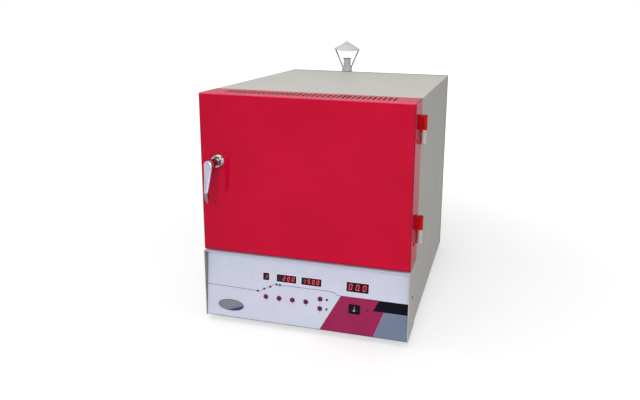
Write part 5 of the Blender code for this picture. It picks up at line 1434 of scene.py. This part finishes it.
# %% Badge
badge_place = panel_place @ Matrix.Translation((-185.4 * mm, 0, 30.2 * mm))
badge_reach = (33.2 * mm, 13.9 * mm)            # half its width and half its height
rim_reach = (32.8 * mm, 13.5 * mm)
rim_depth = 0.6 * mm
dome_profile = [(0, -1.2 * mm), (0.75, -1.15 * mm), (0.92, -0.95 * mm), (1.0, -0.5 * mm),
                (1.0, -0.3 * mm), (0, -0.3 * mm)]       # its radius is stretched to the oval
oval = Matrix.Diagonal((*badge_reach, 1, 1))
dome = turned(dome_profile, badge_place @ along_y(0, 0, 0) @ oval, 72, ease=0.0)
rim = bar(circle((0, 0), *rim_reach, 72), 0.9 * mm, 1 * mm,
          badge_place @ Matrix.Translation((0, -rim_depth, 0)) @ upright, sides=10, closed=True)
mesh, finishes = joined([(dome, badge_alloy), (rim, rear_enamel)])
finished("domed_badge", mesh, "furnace", "badge_alloy", finishes, "badge_plate")
print("the badge has", len(mesh.polygons), "faces")

# %% [markdown]
# ## Power switch
# A rocker switch in a black bezel. The rocker's face is hollow, so that a finger finds its end,
# and carries a plain bar for on and a ring for off. The rocker rests tipped to its off side, so
# its mesh is drawn level and then placed with the tilt.

# %% Bezel and rocker
softened("power_switch_body", "black_plastic", black_plastic, 0.5 * mm)
rocker_tilt = math.radians(-9)
rocker_half = 9.9 * mm          # half its length along its axis
rocker_tall = 6.6 * mm          # half its height
rocker_depth = 6.8              # from its axis to its ends, in mm
rocker_hollow = 1.4             # how much less it is in the middle
face_steps = 12
rocker_place = (panel_place @ Matrix.Translation((122.7 * mm, 3.7 * mm, 60.5 * mm))
                @ Matrix.Rotation(rocker_tilt, 4, "X"))
shares = [-1 + step / (face_steps / 2) for step in range(face_steps + 1)]
face = [(-(rocker_depth - rocker_hollow * (1 - share ** 2)) * mm, -rocker_tall * share)
        for share in shares]
back = [(0, -rocker_tall), (4.5 * mm, -rocker_tall / 2), (4.5 * mm, rocker_tall / 2),
        (0, rocker_tall)]
rocker = lofted("rocker", [[(x, y, z) for y, z in face + back]
                           for x in (-rocker_half, rocker_half)])
piece = finished("hollow_rocker", settled(rocker, rocker_place), "power_rocker", "black_plastic",
                 [black_plastic], "power_rocker")
even_shading(piece, 0.4 * mm)
print("the rocker has", len(rocker.polygons), "faces")

# %% Bar and ring on the rocker
face_slope = math.radians(13)   # each half of the hollow face rises towards its end
mark_height = 0.5 * mm
ring_reach = 1.9 * mm
mark_stand = 5.15 * mm          # from the rocker's axis to the marks, half sunk in its face
rocker_front = rocker_place @ Matrix.Translation((0, -mark_stand, 0)) @ upright
upper_half = rocker_front @ Matrix.Rotation(face_slope, 4, "X")
lower_half = rocker_front @ Matrix.Rotation(-face_slope, 4, "X")
bar_mark = bar(in_mm((0, 1.8), (0, 5.2)), 1.2 * mm, mark_height, upper_half, sides=8)
ring_mark = bar(circle((0, -3.6 * mm), ring_reach, ring_reach, 28), 0.9 * mm, mark_height,
                lower_half, sides=8, closed=True)
mesh, finishes = joined([(bar_mark, mark_plastic), (ring_mark, mark_plastic)])
finished("rocker_marks", mesh, "power_rocker", "black_plastic", finishes)
print("the marks have", len(mesh.polygons), "faces")

# %% [markdown]
# ## Screws, feet and gland
# The rear cover has seven screws, the chimney's flange four and the door's back panel eight. The
# console's cheeks and the door's side show one or two more each. The screw tree sets them all.
# The feet are turned rubber with a shallow groove, and the gland is a moulded dome on a
# six-sided nut.

# %% Set the screws
case_half = 250 * mm
backwards = (0, 1, 0)
cover_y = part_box("rear_cover")[1].y
cover_reach = 240.5 * mm
cover_top = 550.5 * mm
cover_rows = (299.55 * mm, 48.6 * mm)
rear_places = [(middle_x + x, cover_y, cover_top) for x in (-cover_reach, 0, cover_reach)]
rear_places += [(middle_x + side * cover_reach, cover_y, z) for side in (-1, 1) for z in cover_rows]

flange_reach = 22 * mm
flange_places = [(stack_axis.x + across * flange_reach, flange_y + flange_thickness,
                  flue_z + up * flange_reach) for across in (-1, 1) for up in (-1, 1)]

back_y = door_high.y - 3 * mm
back_reach = 162.5 * mm
back_rise = 139.5 * mm
back_side = 169.5 * mm
door_places = [(middle_x + x, back_y, door_middle_z + side * back_rise)
               for side in (-1, 1) for x in (-back_reach, 0, back_reach)]
door_places += [(middle_x + side * back_side, back_y, door_middle_z) for side in (-1, 1)]

for name, places, body in (
        ("rear_cover_screws", rear_places, "furnace"),
        ("flue_flange_screws", flange_places, "furnace"),
        ("door_back_screws", door_places, "door")):
    finished(name, screws(places, backwards), body, "stainless_steel", [zinc_plate])
for node, way, body, slot, finish in (
        ("cheek_screw_left", -1, "furnace", "stainless_steel", drawn_wire),
        ("cheek_screw_right", 1, "furnace", "stainless_steel", drawn_wire),
        ("door_bolt_upper", 1, "door", "hinge_enamel", hinge_enamel),
        ("door_bolt_lower", 1, "door", "hinge_enamel", hinge_enamel)):
    middle = middle_of(node)
    mesh = screws([(middle_x + way * case_half, middle.y, middle.z)], (way, 0, 0))
    finished("crossed_" + node, mesh, body, slot, [finish], node)
print("screws:", len(rear_places) + len(flange_places) + len(door_places) + 4)

# %% Turn the feet and the gland
for row in ("front", "back"):
    for side in ("left", "right"):
        name = f"foot_{row}_{side}"
        middle = middle_of(name)
        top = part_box(name)[1].z
        profile = in_mm((0, 10), (6, 10), (6, 0), (15, 0, 0.8), (14.6, 4, 0.4), (13.9, 5, 0.4),
                        (13.8, 6.4, 0.4), (14.3, 7.4, 0.4))
        profile += [(13 * mm, top, 0.8 * mm), (0, top)]
        mesh = turned(profile, Matrix.Translation((middle.x, middle.y, 0)), 40)
        finished("ribbed_" + name, mesh, "furnace", "foot_rubber", [foot_rubber], name)

gland_middle = middle_of("cable_gland")
gland_place = along_y(gland_middle.x, cover_y, gland_middle.z)
nut = turned(in_mm((9, 0.4), (12, 0.4, 0.5), (12, 6, 0.5), (9, 6)), gland_place, 6, closed=True)
dome = turned(in_mm(
    (8, -8), (8, 6), (10.4, 6.1, 0.5), (9, 12, 3), (5.6, 18, 1), (4.2, 18, 0.5), (4.2, -8)),
    gland_place, 48, closed=True)
mesh, finishes = joined([(nut, black_plastic), (dome, black_plastic)])
finished("moulded_gland", mesh, "furnace", "black_plastic", finishes, "cable_gland")
print("feet: 4, gland faces:", len(mesh.polygons))

# %% [markdown]
# ## Chamber and the pieces behind it
# The muffle and its boards show when the door is open. Their shapes are simple in the real
# furnace too, so they keep the model's form with worn edges. What no view shows keeps the
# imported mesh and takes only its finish.

# %% Muffle, boards and hidden pieces
muffle_edge = 1.0 * mm
board_edge = 0.5 * mm
softened("muffle", "fired_ceramic", fired_ceramic, muffle_edge)
for node in ("insulation_floor", "insulation_hood", "insulation_rear"):
    softened(node, "fibre_board", fibre_board, board_edge)
for node in ("chamber_jacket", "chamber_shelf", "door_tray"):
    softened(node, "zinc_steel", zinc_plate, sheet_edge)
for node, finish in (
        ("latch_shaft", stainless_steel), ("flue_duct", stainless_steel),
        ("thermocouple", stainless_steel), ("heating_element_left", heating_wire),
        ("heating_element_right", heating_wire), ("transformer", laminated_core),
        ("power_relay", heat_sink_alloy)):
    for material_slot in nodes[node].material_slots:
        material_slot.material = finish
print("every node has its finish")

# %% [markdown]
# ## Studio
# The furnace stands on a plain pale floor in soft light from the front left and from above, as
# in a catalogue. The floor is lit and keeps the furnace's shadow, and its own faint glow, which
# only the camera and reflections see, takes it to white. Further out the glow takes over, so the
# floor meets the white backdrop with no line between them.

# %% Floor and backdrop
def seen_directly(tree):
    """1 where the camera, a reflection or clear glass looks, and 0 for light that only spreads."""
    rays = add_node(tree, "ShaderNodeLightPath").outputs
    calc = math_node(tree)
    seen = calc("MAXIMUM", rays["Is Camera Ray"], rays["Is Glossy Ray"])
    return calc("MAXIMUM", seen, rays["Is Transmission Ray"])


floor_half = 9                  # metres
near_glow = 0.42                # how strongly the floor glows near the furnace
glow_start, glow_end = 0.55, 1.5        # metres out, between which the glow takes over
near_grey, far_grey = 0.68, 0.25        # the floor's own colour near and far
floor_paint, tree, shader, place = start_finish("studio floor", {
    "Roughness": 0.9, "Specular IOR Level": 0.0, "Emission Color": (1, 1, 1, 1)})
calc = math_node(tree)
distance = add_node(tree, "ShaderNodeVectorMath", {0: place}, operation="LENGTH").outputs["Value"]
far = add_node(tree, "ShaderNodeMapRange", {
    "Value": distance, "From Min": glow_start, "From Max": glow_end},
    interpolation_type="SMOOTHSTEP").outputs[0]
glow = calc("ADD", near_glow, calc("MULTIPLY", far, 1 - near_glow))
shade = add_node(tree, "ShaderNodeMix", {
    0: far, 6: (near_grey, near_grey, near_grey, 1), 7: (far_grey, far_grey, far_grey, 1)},
    data_type="RGBA")
tree.links.new(shade.outputs[2], shader.inputs["Base Color"])
tree.links.new(calc("MULTIPLY", glow, seen_directly(tree)), shader.inputs["Emission Strength"])
floor_mesh = bpy.data.meshes.new("floor")
floor_mesh.from_pydata([(-floor_half, -floor_half, 0), (floor_half, -floor_half, 0),
                        (floor_half, floor_half, 0), (-floor_half, floor_half, 0)],
                       [], [(0, 1, 2, 3)])
floor_mesh.materials.append(floor_paint)
floor = bpy.data.objects.new("floor", floor_mesh)
scene.collection.objects.link(floor)

room_light = 0.42
world = bpy.data.worlds.new("studio")
scene.world = world
world.use_nodes = True
tree = world.node_tree
background = tree.nodes["Background"]
background.inputs["Color"].default_value = (1, 1, 1, 1)
strength = math_node(tree)("MULTIPLY_ADD", seen_directly(tree), 1 - room_light, room_light)
tree.links.new(strength, background.inputs["Strength"])
print("floor and backdrop are white")

# %% Lamps
def soft_lamp(name, place, target, side, power):
    """A square soft lamp that faces a target, its side in metres and its power in watts."""
    light = bpy.data.lights.new(name, "AREA")
    light.shape = "SQUARE"
    light.size = side
    light.energy = power
    lamp = bpy.data.objects.new(name, light)
    lamp.location = place
    lamp.rotation_euler = (Vector(target) - Vector(place)).to_track_quat("-Z", "Y").to_euler()
    scene.collection.objects.link(lamp)


soft_lamp("front lamp", (0.45, -2.65, 1.35), (0, -0.2, 0.3), 1.3, 39)
soft_lamp("top lamp", (-0.2, -0.1, 2.4), (0, 0, 0.4), 1.8, 17)
soft_lamp("right lamp", (2.4, -0.9, 1.3), (0.1, 0, 0.3), 1.2, 4)
soft_lamp("left lamp", (-2.4, -0.3, 1.3), (-0.1, 0, 0.3), 1.2, 5)
print("lamps:", len(bpy.data.lights))

# %% [markdown]
# ## Camera
# The photograph was taken from a little above and from the right of the door, close enough for
# clear perspective. The camera was solved once from the corners of the door, the console and
# the case, and its place and axes are written here.

# %% Camera
camera_data = bpy.data.cameras.new("camera")
camera_data.sensor_width = 36
camera_data.lens = 34.441
camera_data.shift_x = -0.0524
camera_data.shift_y = -0.07384
camera = bpy.data.objects.new("camera", camera_data)
right = Vector((0.96849, 0.24857, 0.01534)).normalized()
forward = Vector((-0.23903, 0.9451, -0.22283)).normalized()
up = right.cross(forward)
camera.matrix_world = Matrix.Translation((0.42835, -1.57671, 0.74162)) @ Matrix(
    (right, up, -forward)).transposed().to_4x4()
scene.collection.objects.link(camera)
scene.camera = camera
scene.view_settings.view_transform = "Standard"
print("lens", round(camera_data.lens, 1), "mm")

# %% [markdown]
# ## Hand over
# The last cell brings the scene up to date.

# %% Finish
bpy.context.view_layer.update()
